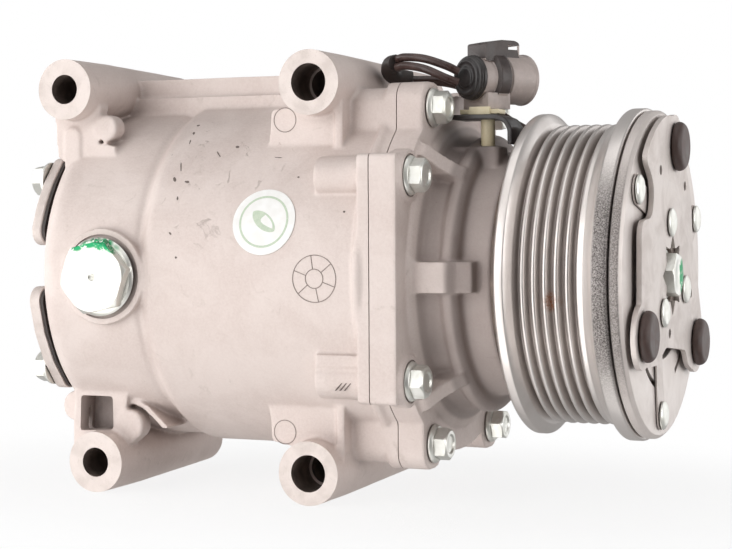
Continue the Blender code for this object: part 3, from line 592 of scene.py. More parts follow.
def zinc_plate(name, dabs=()):
    """Bright zinc plate with a faint green-yellow cast, painted shade in its corners, and dabs of green marking paint
    in stated places.
    """
    paint_ = Paint(name, 0.34, 0.7)
    blotch = paint_.noise(240.0, 4.0, 0.55, 0.5)
    colour = paint_.mix(paint_.ramp(blotch, 0.35, 0.7), (0.82, 0.82, 0.78), (0.72, 0.72, 0.665))
    # painted shade: ambient occlusion darkens the colour in corners and recesses
    corner_shade = paint_.ramp(paint_.recess(2.5), 0.25, 0.85, 0.75, 0.0)
    colour = paint_.mix(corner_shade, colour, (0.16, 0.14, 0.11))
    ragged = paint_.ramp(paint_.noise(650.0, 3.0, 0.6, 0.8), 0.36, 0.46)
    for centre, radius in dabs:
        dab = paint_.math("MULTIPLY", paint_.place(centre, radius, 0.5), ragged)
        colour = paint_.mix(dab, colour, (0.02, 0.30, 0.12))
    fleck = paint_.noise(1900.0, 3.0)
    paint_.bump(fleck, 0.02)
    return paint_.done(colour, paint_.ramp(blotch, 0.3, 0.75, 0.28, 0.42))


def pulley_steel():
    """Plated and turned steel: rings from the lathe, speckled rims, a rust spot, and painted shade deep in the grooves.
    """
    paint_ = Paint("pulley_steel", 0.3, 0.85)
    line, size, station = paint_.turned()
    rings = paint_.noise(1100.0, 2.0, vector=line)
    blotch = paint_.noise(60.0, 4.0, 0.55, 0.4)
    colour = paint_.mix(paint_.ramp(blotch, 0.35, 0.7), (0.80, 0.755, 0.73), (0.72, 0.675, 0.65))
    rim = paint_.math("MULTIPLY", paint_.ramp(station, ORIGIN_X + 30.7 * MM, ORIGIN_X + 31.5 * MM),
                      paint_.place((33.0, -53.4, 0.0), 34.0, 16.0))
    speckle = paint_.noise(2300.0, 4.0, 0.75)
    speckled = paint_.math("MULTIPLY", paint_.ramp(speckle, 0.38, 0.6, 0.6, 0.97), rim)
    colour = paint_.mix(speckled, colour, (0.085, 0.073, 0.070))
    # painted shade: darker towards the groove valleys, over the grooves only
    groove = paint_.ramp(size, (VALLEY_R + 0.2) * MM, (CREST_R - 0.4) * MM, 0.75, 0.12)
    valley_shade = paint_.math("MULTIPLY", groove, paint_.ramp(station, ORIGIN_X + 27.0 * MM, ORIGIN_X + 28.0 * MM, 1.0, 0.0))
    colour = paint_.mix(valley_shade, colour, (0.25, 0.215, 0.20))
    rust_noise = paint_.ramp(paint_.noise(520.0, 5.0, 0.7, 1.0), 0.42, 0.56)
    rust = paint_.math("MULTIPLY", paint_.place((16.9, -45.9, -6.6), 2.6, 1.4), rust_noise)
    colour = paint_.mix(rust, colour, (0.36, 0.18, 0.10))
    paint_.bump(rings, 0.010)
    paint_.bump(paint_.math("MULTIPLY", speckle, rim), 0.05)
    rough = paint_.math("ADD", paint_.ramp(blotch, 0.3, 0.7, 0.30, 0.40), paint_.math("MULTIPLY", speckled, 0.25))
    return paint_.done(colour, paint_.math("ADD", rough, paint_.math("MULTIPLY", rust, 0.4)))


def armature_steel():
    """Pale plated steel, satin on its face, speckled round its rim, with painted shade in its corners."""
    paint_ = Paint("armature_steel", 0.42, 0.35)
    line, size, _ = paint_.turned()
    blotch = paint_.noise(75.0, 5.0, 0.6, 0.6)
    colour = paint_.mix(paint_.ramp(blotch, 0.35, 0.7), (0.74, 0.68, 0.65), (0.67, 0.61, 0.58))
    rim = paint_.math("MULTIPLY", paint_.ramp(size, (ARMATURE_R - 0.5) * MM, (ARMATURE_R - 0.1) * MM),
                      paint_.place((38.0, -52.6, 0.0), 34.0, 16.0))
    speckle = paint_.noise(2300.0, 4.0, 0.75)
    speckled = paint_.math("MULTIPLY", paint_.ramp(speckle, 0.4, 0.6, 0.55, 0.92), rim)
    colour = paint_.mix(speckled, colour, (0.13, 0.113, 0.108))
    # painted shade: ambient occlusion darkens the colour in corners and recesses
    painted_shade = paint_.ramp(paint_.recess(3.0), 0.2, 0.85, 0.5, 0.0)
    colour = paint_.mix(painted_shade, colour, (0.20, 0.165, 0.15))
    paint_.bump(paint_.noise(1300.0, 2.0, vector=line), 0.010)
    paint_.bump(speckled, 0.03)
    return paint_.done(colour, paint_.math("ADD", paint_.ramp(blotch, 0.3, 0.7, 0.38, 0.5),
                                           paint_.math("MULTIPLY", speckled, 0.15)))


def hub_steel():
    """Satin plate of the clutch hub, warm and soft, with rubbed patches and painted shade in its corners."""
    paint_ = Paint("hub_steel", 0.5, 0.4)
    blotch = paint_.noise(95.0, 6.0, 0.6, 1.0)
    colour = paint_.mix(paint_.ramp(blotch, 0.35, 0.7), (0.68, 0.62, 0.59), (0.59, 0.53, 0.50))
    rub = paint_.noise(700.0, 3.0, 0.6, 3.0)
    colour = paint_.mix(paint_.ramp(rub, 0.62, 0.7, 0.0, 0.3), colour, (0.46, 0.40, 0.37))
    # painted shade: ambient occlusion darkens the colour in corners and recesses
    painted_shade = paint_.ramp(paint_.recess(2.5), 0.2, 0.85, 0.5, 0.0)
    colour = paint_.mix(painted_shade, colour, (0.20, 0.16, 0.145))
    paint_.bump(paint_.noise(900.0, 4.0, 0.6), 0.02)
    return paint_.done(colour, paint_.ramp(blotch, 0.3, 0.7, 0.44, 0.56))


def inner_steel(name, colour_a, colour_b):
    """Ground steel of the inner parts, with rings round the shaft."""
    paint_ = Paint(name, 0.25, 1.0)
    line, _, _ = paint_.turned()
    rings = paint_.noise(1100.0, 3.0, vector=line)
    colour = paint_.mix(paint_.ramp(rings, 0.3, 0.7), colour_a, colour_b)
    paint_.bump(rings, 0.012)
    return paint_.done(colour, paint_.ramp(paint_.noise(150.0, 3.0), 0.3, 0.7, 0.2, 0.36))


def moulded(name, dark, light, roughness, grain, depth, scuff=0.25):
    """Moulded rubber or plastic: slightly uneven colour, fine grain and dusty high spots."""
    paint_ = Paint(name, roughness, 0.0)
    blotch = paint_.noise(210.0, 5.0, 0.6, 0.5)
    colour = paint_.mix(paint_.ramp(blotch, 0.35, 0.7), dark, light)
    dust = paint_.noise(950.0, 4.0, 0.7, 0.6)
    pale = tuple(min(1.0, 1.6 * c + 0.03) for c in light)
    colour = paint_.mix(paint_.ramp(dust, 0.55, 0.75, 0.0, scuff), colour, pale)
    paint_.bump(paint_.noise(grain, 3.0, 0.6), depth)
    return paint_.done(colour, paint_.ramp(blotch, 0.3, 0.7, roughness - 0.07, roughness + 0.08))


def coil_lacquer():
    """Dark lacquered steel round the winding."""
    paint_ = Paint("coil_lacquer", 0.45, 0.3)
    blotch = paint_.noise(130.0, 5.0, 0.6, 0.5)
    colour = paint_.mix(paint_.ramp(blotch, 0.35, 0.7), (0.075, 0.055, 0.045), (0.17, 0.125, 0.10))
    paint_.bump(paint_.noise(700.0, 3.0), 0.05)
    return paint_.done(colour)


def label_paper():
    """White vinyl label with faint blotches."""
    paint_ = Paint("label_paper", 0.42, 0.0)
    blotch = paint_.noise(300.0, 4.0)
    colour = paint_.mix(paint_.ramp(blotch, 0.35, 0.7), (0.87, 0.865, 0.845), (0.93, 0.93, 0.92))
    paint_.bump(paint_.noise(600.0, 3.0), 0.02)
    return paint_.done(colour)


def wet_paint(name, colour_a, colour_b):
    """A dab of marking paint, brushed on."""
    paint_ = Paint(name, 0.38, 0.0)
    streak = paint_.noise(800.0, 3.0, 0.6, 1.2)
    paint_.bump(streak, 0.06)
    return paint_.done(paint_.mix(paint_.ramp(streak, 0.35, 0.65), colour_a, colour_b))


LOOKS = {
    "cast": cast_aluminium(),
    "machined": machined_alloy(),
    "bore": shaded_bore_alloy(),
    "zinc": zinc_plate("zinc_plate"),
    "plug_zinc": zinc_plate("plug_zinc", [((-139.0, -64.6, 12.6), 4.2), ((-134.0, -64.6, 13.8), 4.4),
                                          ((-129.0, -64.6, 13.2), 4.6), ((-125.0, -64.0, 11.0), 3.4)]),
    "bolt_zinc": zinc_plate("bolt_zinc", [((45.2, 4.6, 2.6), 2.6), ((45.2, 5.2, -1.4), 3.0), ((45.2, 4.6, -4.4), 2.0)]),
    "pulley": pulley_steel(),
    "armature": armature_steel(),
    "hub": hub_steel(),
    "steel": inner_steel("inner_steel", (0.52, 0.51, 0.50), (0.66, 0.65, 0.64)),
    "scroll": inner_steel("scroll_alloy", (0.66, 0.64, 0.62), (0.78, 0.76, 0.73)),
    "rubber": moulded("black_rubber", (0.030, 0.022, 0.020), (0.052, 0.038, 0.034), 0.5, 1100.0, 0.03),
    "damper": moulded("damper_rubber", (0.058, 0.034, 0.029), (0.084, 0.050, 0.043), 0.5, 900.0, 0.03, 0.12),
    "grommet": moulded("grommet_rubber", (0.022, 0.019, 0.019), (0.038, 0.032, 0.032), 0.36, 900.0, 0.04),
    "plastic": moulded("grey_plastic", (0.44, 0.375, 0.35), (0.52, 0.445, 0.42), 0.45, 1300.0, 0.02),
    "dark_plastic": moulded("dark_plastic", (0.048, 0.036, 0.034), (0.078, 0.060, 0.056), 0.42, 1300.0, 0.02),
    "bracket": moulded("black_bracket", (0.018, 0.014, 0.014), (0.034, 0.027, 0.026), 0.36, 800.0, 0.03),
    "ivory": moulded("ivory_nylon", (0.76, 0.66, 0.44), (0.82, 0.73, 0.52), 0.4, 900.0, 0.02, 0.15),
    "wire": moulded("wire_insulation", (0.050, 0.027, 0.024), (0.082, 0.047, 0.041), 0.32, 700.0, 0.04),
    "coil": coil_lacquer(),
    "label": label_paper(),
    "leaf": wet_paint("label_green", (0.50, 0.60, 0.46), (0.58, 0.66, 0.53)),
    "pit": moulded("casting_pit", (0.11, 0.085, 0.075), (0.18, 0.14, 0.125), 0.7, 900.0, 0.02),
    # casting residue and painted groove shade: dark fill for the thin date clock lines and ejector rings
    "residue_and_groove_shade": moulded("mould_line", (0.20, 0.16, 0.145), (0.29, 0.235, 0.21), 0.6, 900.0, 0.02),
}


# ---------------------------------------------------------------- rear housing

def lobe(y, z, reach):
    """The outline round a bolt above or below: flat beside the shaft's side, chamfered at its corners."""
    sy, sz = math.copysign(1.0, y), math.copysign(1.0, z)
    corners = [(8.2, -16.0), (8.2, reach - 3.6), (4.6, reach), (-4.6, reach), (-8.2, reach - 3.6), (-11.0, -16.0)]
    return rounded([(y + sy * u, z + sz * v) for u, v in corners], 2.0)


def flange_shapes(low, high):
    """The bolted flange: a disc, its flat sides, and a lobe round each bolt above and below."""
    side = FLANGE_SIDE_Y
    slab = rounded([(-side, -38.8), (side, -38.8), (side, 38.8), (-side, 38.8)], 1.6)
    shapes = [lathe([(low, 0), (low, BARREL_R), (high, BARREL_R), (high, 0)], 120), prism(slab, low, high)]
    for y, z in FLANGE_BOLTS:
        if abs(z) > 40:
            shapes.append(prism(lobe(y, z, 8.2), low, high))
    return shapes


def wall(outline, near, far, axis="Y", radius=1.2):
    """A rib or web with a rounded outline."""
    return prism(rounded(outline, radius), near, far, axis)


def ear_shapes():
    """Ear tubes with webs, lugs and blocks, on the near side and, closer in, on the far side."""
    shapes = []
    for x, z, outer, _, far in EARS.values():
        near, slim = EAR_NEAR_Y - 1.0, outer - 1.2
        profile = [(near, 0), (near, outer), (-24.0, outer), (far + 1.0, slim), (far + 1.0, 0)]
        shapes.append(across_shaft(lathe(profile, 72), x, z))
    for near, far in ((-41.5, -36.2), (14.2, 19.5)):
        face = near if near < 0 else far
        shapes.append(wall([(-162.4, 62.0), (-161.5, 53.5), (-160.5, 39.8), (-156.9, 38.0), (-154.0, 34.0),
                            (-136.0, 34.0), (-137.8, 43.5), (-144.2, 44.4), (-145.6, 47.0), (-143.0, 57.0)],
                           near, far, radius=0.8))
        shapes.append(prism(hull([(-154.3, 46.9), (-154.3, 36.0)], 3.1), *sorted((face * 1.018, face * 0.94)), "Y"))
        shapes.append(rod(-141.4, 49.6, 4.4, near - 0.4, far + 0.4, "Y"))
        shapes.append(wall([(-155.8, -60.0), (-154.9, -34.0), (-133.0, -34.0), (-134.6, -46.4), (-134.0, -57.0)],
                           near, far))
        shapes.append(rod(-133.2, -50.9, 5.2, near - 0.4, far + 0.4, "Y"))
        shapes.append(wall([(-140.0, -60.0), (-131.0, -56.4), (-131.6, -47.0), (-140.0, -46.0)], near, far))
        fin = [(-136.0, -41.8), (-130.6, -42.6), (-126.8, -44.6), (-123.2, -47.8), (-119.4, -51.6), (-121.4, -52.0),
               (-124.6, -49.2), (-127.8, -46.4), (-131.4, -44.4), (-136.0, -43.8)]
        inward = math.copysign(1.0, -near)
        shapes.append(wall(fin, *sorted((face + inward * 1.8, face + inward * 17.0)), radius=0.6))
    for near, far in ((-41.5, -31.0), (26.0, 36.5)):
        shapes.append(wall([(-80.4, 38.0), (-79.2, 54.0), (-56.0, 58.0), (-56.0, 38.0)], near, far))
        shapes.append(wall([(-81.0, -38.0), (-79.8, -54.0), (-57.0, -58.5), (-57.0, -38.0)], near, far))
    for height in (45.8, -46.0):
        shapes.append(rod(-158.6, height, 5.2, -35.0, -14.0, "Y"))
    shapes.append(wall([(-157.2, -59.0), (-156.8, -38.0), (-136.0, -38.0), (-136.0, -59.0)], -34.0, -29.0))
    return shapes


def barrel_shapes():
    """Bolt bosses behind the flange, ribs, the ridge between the upper ears, and the plug's pad."""
    shapes = []
    for y, z in FLANGE_BOLTS:
        if abs(z) < 40:
            shapes.append(prism(hull([(y * 1.0, z), (y * 0.8, z)], 6.3), -57.8, PARTING_X - 1.0))
        else:
            shapes.append(prism(lobe(y, z, 6.6), -56.0, PARTING_X - 1.0))
    for side in (-1.0, 1.0):
        low, high = sorted((side * 40.0, side * 56.0))
        shapes.append(block((-57.4, low, -27.8), (-39.0, high, -23.9)))
    shapes.append(block((-152.0, -15.0, 54.0), (-64.0, 9.0, 67.2)))
    shapes.append(block((-150.6, -16.0, 54.0), (-146.8, 10.0, 68.2)))
    shapes.append(block((-150.0, -18.0, 50.0), (-64.0, 12.0, 60.6)))
    for sign in (1.0, -1.0):
        low, high = sorted((sign * 40.0, sign * 61.0))
        shapes.append(block((-56.2, -42.8, low), (-53.4, -26.0, high)))
    shapes.append(rod(PLUG_X, 0.0, 15.8, -58.9, -45.0, "Y", 72))
    shapes.append(lathe([(-42.8, 50.0), (-42.8, 60.6), (-41.0, 60.6), (-39.2, 59.0), (-39.2, 50.0)], 120))
    return shapes


def rear_outline():
    """The barrel's own turned outline."""
    outline = [(REAR_X, 0), (REAR_X, 50.5), (-158.4, 54.6), (-153.0, REAR_SECTION_R)]
    outline += [(-122.6, REAR_SECTION_R - 0.1), (-120.6, 56.5), (-119.4, 56.8), (-116.4, BARREL_R)]
    return outline + [(PARTING_X - 1.5, BARREL_R), (PARTING_X - 1.5, 0)]


def rear_housing():
    """The deep casting that holds the scrolls and carries the four mounting ears."""
    shapes = [lathe(rounded(rear_outline(), 2.0, 4), 160)] + flange_shapes(-41.6, PARTING_X + 1.5)
    body = cast(shapes + ear_shapes() + barrel_shapes(), 0.6, 4, 0.14)
    hollow = [(PARTING_X + 3.0, 0), (PARTING_X + 3.0, CAVITY_R), (CAVITY_END_X, CAVITY_R),
              (CAVITY_END_X, CHAMBER_R), (CHAMBER_END_X, CHAMBER_R - 2.0), (CHAMBER_END_X, 0)]
    tools = [lathe(hollow, 120), block((PARTING_X, -75.0, -80.0), (PARTING_X + 6.0, 75.0, 80.0))]
    for x, z, outer, bore, far in EARS.values():
        through = bore - 0.9 if bore > 5 else bore
        mouth = [(x - outer - 2.0, z - outer - 2.0), (x + outer + 2.0, z - outer - 2.0),
                 (x + outer + 2.0, z + outer + 2.0), (x - outer - 2.0, z + outer + 2.0)]
        tools.append(prism(mouth, EAR_NEAR_Y - 4.0, EAR_NEAR_Y, "Y"))
        tools.append(prism(mouth, far, far + 4.0, "Y"))
        tools.append(rod(x, z, through, EAR_NEAR_Y - 3.0, far + 3.0, "Y", 48))
        if bore > 5:
            tools.append(rod(x, z, bore, EAR_NEAR_Y - 3.0, EAR_NEAR_Y + 14.0, "Y", 48))
    tools += [rod(y, z, 3.4, -52.5, PARTING_X + 2.0, steps=24) for y, z in FLANGE_BOLTS]
    tools.append(rod(PLUG_X, 0.0, 6.9, -64.0, -36.0, "Y", 40))
    tools.append(rod(PLUG_X, 0.0, 13.9, -64.0, -57.9, "Y", 72))
    for side in (1.0, -1.0):
        tools.append(rod(PORT_AT[0], side * PORT_AT[1], 8.0, REAR_X - 3.0, CHAMBER_END_X + 3.0))
        tools.append(rod(COVER_BOLT_AT[0], side * COVER_BOLT_AT[1], 3.0, REAR_X - 3.0, -149.5, steps=24))
    tools.append(wall([(-152.8, -53.6), (-152.3, -41.4), (-139.8, -41.4), (-139.6, -52.8)], -44.0, -32.0))
    merge(body, tools, "DIFFERENCE", "MANIFOLD")
    finish(body, "rear_housing" + FINE, "cast", "root", ["rear_housing"], 40.0)

    def in_ear(x, z, reach):
        return any(math.hypot(x - ex, z - ez) < outer + reach for ex, ez, outer, _, _ in EARS.values())

    def ear_face(x, y, z, normal):
        at_end = y < EAR_NEAR_Y + 0.1 or any(abs(y - far) < 0.1 for *_, far in EARS.values())
        return abs(normal.y) > 0.98 and at_end and in_ear(x, z, 1.0)

    def ear_bore(x, y, z, normal):
        return abs(normal.y) < 0.2 and any(math.hypot(x - ex, z - ez) < bore + 0.2
                                           for ex, ez, _, bore, _ in EARS.values())

    paint(body, "machined", ear_face)
    # painted shade: the ear bores get the dark bore colour
    paint(body, "bore", ear_bore)


def cylinder_patch(centre_x, angle, radius, base, outline, thickness, name, look):
    """A thin plate bent round the barrel: outline is in millimetres along X and round the curve."""
    points, faces = [], []
    count = len(outline)
    for depth in (base, base + thickness):
        for u, v in outline:
            turn = angle + math.degrees(v / radius)
            y, z = polar(radius + depth, turn)
            points.append((centre_x + u, y, z))
    rings = [list(range(count)), list(range(count, 2 * count))]
    faces = [rings[0], rings[1]]
    faces += [(k, (k + 1) % count, (k + 1) % count + count, k + count) for k in range(count)]
    return finish(solid(points, faces), name, look, "root")


def curved_disc(centre_x, angle, radius, base, size, thickness, name, look, inner=0.0):
    """A round plate, or a ring of it, bent round the barrel in rings of points."""
    spokes, rings = 64, 10
    points, faces = [], []
    for depth in (base, base + thickness):
        for r in range(rings + 1):
            reach = inner + (size - inner) * r / rings
            for s in range(spokes):
                a = 2.0 * math.pi * s / spokes
                turn = angle + math.degrees(reach * math.sin(a) / radius)
                y, z = polar(radius + depth, turn)
                points.append((centre_x + reach * math.cos(a), y, z))
    layer = (rings + 1) * spokes
    for r in range(rings):
        for s in range(spokes):
            n = (s + 1) % spokes
            a, b = r * spokes + s, r * spokes + n
            c, d = (r + 1) * spokes + n, (r + 1) * spokes + s
            faces += [(a, b, c, d), (a + layer, d + layer, c + layer, b + layer)]
    for s in range(spokes):
        n = (s + 1) % spokes
        rim = rings * spokes
        faces += [(rim + s, rim + n, rim + n + layer, rim + s + layer), (s, s + layer, n + layer, n)]
    disc = solid(points, faces)
    shape = bmesh.new()
    shape.from_mesh(disc.data)
    bmesh.ops.remove_doubles(shape, verts=shape.verts, dist=0.0005 * MM)
    shape.to_mesh(disc.data)
    shape.free()
    return finish(disc, name, look, "root")


def surface_marks():
    """The round label with its ring and plain leaf, and the casting's date clock."""
    label_x, label_angle = -74.7, 180.0 - 17.6
    curved_disc(label_x, label_angle, BARREL_R, 0.10, 10.9, 0.14, "round_label", "label")
    curved_disc(label_x, label_angle, BARREL_R, 0.22, 8.6, 0.05, "label_ring", "leaf", 7.9)
    leaf = []
    for k in range(25):
        t = math.pi * k / 24
        leaf.append((5.2 * math.cos(t), 2.5 * math.sin(t) ** 1.3))
    leaf += [(u, -v) for u, v in leaf[-2:0:-1]]
    tilt = math.radians(38.0)
    turned_leaf = [(u * math.cos(tilt) - v * math.sin(tilt), u * math.sin(tilt) + v * math.cos(tilt))
                   for u, v in leaf]
    cylinder_patch(label_x, label_angle, BARREL_R, 0.22, turned_leaf, 0.06, "label_leaf", "leaf")
    clock_x, clock_angle = -56.1, 180.0
    # the date clock's rings and spokes are dark strips: casting residue and painted groove shade
    for number, size in enumerate((7.4, 3.0), 1):
        curved_disc(clock_x, clock_angle, BARREL_R, -0.3, size + 0.11, 0.42, f"date_clock_ring_{number}", "residue_and_groove_shade",
                    size - 0.11)
    for k in range(6):
        a = math.radians(20.0 + 60.0 * k)
        along, across = Vector((math.cos(a), math.sin(a))), Vector((-math.sin(a), math.cos(a))) * 0.11
        line = [along * 3.0 - across, along * 7.4 - across, along * 7.4 + across, along * 3.0 + across]
        cylinder_patch(clock_x, clock_angle, BARREL_R, -0.3, [tuple(p) for p in line], 0.42,
                       f"date_clock_spoke_{k + 1}", "residue_and_groove_shade")


def flat_ring(name, x, z, y, radius):
    """A thin dark ring left by the mould on a face that looks along -Y: casting residue and painted groove shade."""
    half = 0.13
    ring = lathe([(y - 0.06, radius - half), (y - 0.06, radius + half), (y + 0.3, radius + half),
                  (y + 0.3, radius - half)], 48)
    finish(across_shaft(ring, x, z), name, "residue_and_groove_shade", "root")


def casting_marks():
    """Ejector rings on the front webs, file marks on the lower boss, and dark pits over the barrel."""
    flat_ring("ejector_ring_upper", -74.2, 50.6, -41.5, 3.9)
    flat_ring("ejector_ring_lower", -75.0, -50.8, -41.5, 3.9)
    for k in range(3):
        x = -50.6 + 1.5 * k
        scratch = prism([(x, -35.0), (x + 0.32, -35.0), (x + 2.6, -32.6), (x + 2.28, -32.6)], -56.35, -55.0, "Y")
        finish(scratch, f"file_mark_{k + 1}", "pit", "root")
    for number, (x, angle, length, width, tilt) in enumerate(PITS, 1):
        lean = math.radians(tilt)
        outline = []
        for u, v in circle(0.0, 0.0, 1.0, 10):
            u, v = u * length, v * width * (1.0 + 0.25 * math.sin(5.0 * u + number))
            outline.append((u * math.cos(lean) - v * math.sin(lean), u * math.sin(lean) + v * math.cos(lean)))
        cylinder_patch(x, 180.0 - angle, BARREL_R, -0.3, outline, 0.36, f"casting_pit_{number}", "pit")


# ---------------------------------------------------------------- front housing

def gusset(degrees):
    """A web from the flange down to the neck, in the plane of the shaft."""
    outline = [(FLANGE_FRONT_X - 4.0, 36.0), (FLANGE_FRONT_X - 4.0, 57.0), (-26.6, 57.4), (-21.4, 50.8),
               (-17.6, 47.4), (-15.2, 46.0), (-15.2, 36.0)]
    web = prism(rounded(outline, 1.5), -2.8, 2.8, "Y")
    return transformed(web, Matrix.Rotation(math.radians(degrees - 90.0), 4, "X"))


def front_housing():
    """The front head: spigot, flange, neck and the nose that carries the pulley."""
    shell_ = [(-38.6, 30.0), (-38.6, SPIGOT_R), (-27.6, SPIGOT_R), (-26.6, 49.6), (-25.0, 45.8), (-20.0, 44.6),
              (-18.8, 46.0), (-16.0, 46.0), (-14.4, 43.8), (-14.2, NECK_R), (-5.4, NECK_R - 1.0), (-4.4, NECK_R - 2.0),
              (-4.4, 17.0), (-12.0, 17.0), (-12.0, 30.0)]
    shapes = [lathe(rounded(shell_, 0.8), 160)]
    shapes += flange_shapes(PARTING_X - 2.0, FLANGE_FRONT_X)
    shapes += [gusset(a) for a in (45.0, 135.0, 225.0, 315.0)]
    rib = [(-33.0, -40.0), (-33.0, -50.2), (-28.0, -50.0), (-16.6, -49.0), (-14.2, -46.2), (-9.2, -44.4), (-9.2, -36.0)]
    shapes.append(prism(rounded(rib, 0.7), -4.6, 5.2, "Z"))
    shapes.append(prism(rounded([(x, -y) for x, y in rib], 0.7), -4.6, 5.2, "Z"))
    shapes.append(prism(rounded([(-30.0, -20.6), (-8.6, -20.6), (-8.6, -9.4), (-30.0, -9.4)], 2.5), 33.0, 41.6, "Z"))
    for y, z in FLANGE_BOLTS:
        if abs(z) < 40:
            shapes.append(rod(y, z, 8.3, FLANGE_FRONT_X - 4.0, FLANGE_FRONT_X + 1.2))
    body = cast(shapes, 0.55, 3, 0.10)
    tools = [block((PARTING_X - 6.0, -75.0, -80.0), (PARTING_X + 0.3, 75.0, 80.0)),
             rod(0, 0, 30.0, -60.0, -12.2, steps=96), rod(0, 0, 17.2, -60.0, 0.0, steps=96)]
    for y, z in FLANGE_BOLTS:
        seat = FLANGE_FRONT_X + (0.6 if abs(z) < 40 else 0.0)
        tools.append(rod(y, z, 3.4, -40.0, -25.0, steps=24))
        tools.append(rod(y, z, 6.8, seat, seat + 3.0))
    tools.append(rod(*CLIP_AT, 2.7, 37.4, 50.0, "Z", 32))
    merge(body, tools, "DIFFERENCE", "MANIFOLD")
    inner = [(-62.8, 44.5), (-62.8, SPIGOT_R), (-43.6, SPIGOT_R), (-43.6, 49.2), (-41.2, 49.2), (-41.2, SPIGOT_R),
             (-37.0, SPIGOT_R), (-37.0, 48.0), (-12.1, 32.0), (-4.3, 19.0), (-4.3, 17.5), (25.2, 17.5), (25.2, 16.0),
             (27.0, 16.0), (27.0, 17.5), (28.2, 17.5), (28.8, 16.9), (28.8, 14.0), (-27.4, 14.0), (-27.4, 23.0),
             (-29.5, 23.0), (-29.5, 26.3), (-44.4, 26.3), (-44.4, 30.5), (-34.5, 30.5), (-34.5, 41.5),
             (-45.5, 44.5)]
    core = lathe(inner, 120)
    finish(core, "front_head_core" + FINE, "machined", "root")
    finish(body, "front_housing" + FINE, "cast", "root", ["front_housing"], 40.0)


# ---------------------------------------------------------------- fasteners

def hex_head(cy, cz, low, top, across, turn, facing=1, worn=0.9):
    """A hexagon head along X with turned-off corners and a dished top."""
    first, last = sorted((low, top))
    head = prism(circle(cy, cz, across, 6, turn), first, last)
    limit = [(low, 0), (low, across + 1.0), (top - facing * worn, across + 0.1),
             (top, across * (1.0 - 0.22 * worn)), (top, 0)]
    head = clip(head, moved(lathe(limit, 64), 0.0, cy, cz))
    dish = [(top - facing * worn * 0.6, 0), (top - facing * worn * 0.6, across * 0.5),
            (top + facing * 0.3, across * 0.66), (top + facing * 0.3, 0)]
    return cut(head, moved(lathe(dish, 48), 0.0, cy, cz))


def flange_bolt(name, y, z, seat, shank, shank_r, flange_r, hex_r, head, turn, facing=1):
    """A flanged hexagon bolt along X."""
    f = facing
    outline = [(shank, 0), (shank, shank_r), (seat, shank_r), (seat, flange_r), (seat + f * 0.7, flange_r),
               (seat + f * 1.7, hex_r + 0.2), (seat + f * 1.7, 0)]
    stem = moved(lathe(rounded(outline, 0.25), 56), 0.0, y, z)
    piece = join(stem, hex_head(y, z, seat + f * 1.0, seat + f * head, hex_r, turn, facing))
    finish(bevel(piece, 0.14), name + FINE, "zinc", "root", [name], 28.0)


def fasteners():
    """Flange bolts, cover bolts and the fill plug."""
    turns = (30.0, 14.0, 47.0, 5.0, 22.0, 38.0, 11.0, 52.0)
    for number, ((y, z), turn) in enumerate(zip(FLANGE_BOLTS, turns), 1):
        seat = FLANGE_FRONT_X + 0.3 + (0.6 if abs(z) < 40 else 0.0)
        flange_bolt(f"flange_bolt_{number}", y, z, seat, -50.0, 3.0, 6.3, 5.4, 5.8, turn)
    for side, name, turn in ((1.0, "upper", 10.0), (-1.0, "lower", 35.0)):
        flange_bolt(f"cover_bolt_{name}", COVER_BOLT_AT[0], side * COVER_BOLT_AT[1], -165.5, -152.0, 2.6, 6.2, 5.4,
                    5.8, turn, -1)
    fill_plug()


def fill_plug():
    """Hexagon plug on the near side, its corners turned off, with a flange and a centre dimple."""
    head = prism(circle(PLUG_X, 0.0, 12.7, 6, 12.0), -65.0, -60.2, "Y")
    limit = [(59.2, 0), (59.2, 11.6), (61.0, 11.6), (61.2, 12.8), (63.8, 12.8), (65.0, 11.3), (65.0, 0)]
    turn = Matrix.Translation(Vector((PLUG_X, 0, 0))) @ Matrix.Rotation(math.radians(-90.0), 4, "Z")
    body = transformed(lathe(limit, 72), turn)
    flange = [(59.2, 0), (59.2, 12.4), (60.4, 12.9), (61.2, 12.0), (61.2, 0)]
    plug = clip(head, body)
    plug = join(plug, transformed(lathe(flange, 72), turn), rod(PLUG_X, 0.0, 6.4, -60.4, -50.0, "Y"))
    dimple = [(63.6, 0), (65.0, 1.3), (65.6, 1.6), (65.6, 0)]
    plug = cut(plug, transformed(lathe(dimple, 40), turn))
    finish(bevel(plug, 0.18), "fill_plug" + FINE, "plug_zinc", "root", ["fill_plug"], 28.0)


def port_covers():
    """Plates over the rear ports, with a pressed pad and a gasket under each."""
    for side, name, heights in ((1.0, "upper", (15.0, 21.5, 28.5, 34.8)), (-1.0, "lower", (9.0, 18.0, 27.0, 34.8))):
        corners = [(-math.sqrt(COVER_RING_R ** 2 - z ** 2), side * z) for z in heights]
        corners += [(1.0, side * heights[-1]), (1.0, side * heights[0])]
        hole = (COVER_BOLT_AT[0], side * COVER_BOLT_AT[1], 3.0, -170.0, -155.0)
        gasket = cut(prism(hull(corners, COVER_CORNER_R - 0.5), -161.2, -160.2), rod(*hole))
        finish(gasket, f"port_gasket_{name}{FINE}", "rubber", "root", [f"port_gasket_{name}"])
        plate = prism(hull(corners, COVER_CORNER_R), -165.2, -161.4)
        pad = prism(hull([(-20.0, side * 22.0), (-8.0, side * 22.0)], 8.0), -166.6, -164.0)
        plate = cut(join(plate, pad), rod(*hole))
        plate = bevel(plate, 0.7, 3)
        finish(plate, f"port_cover_{name}{FINE}", "machined", "root", [f"port_cover_{name}"])


# ---------------------------------------------------------------- pulley and clutch

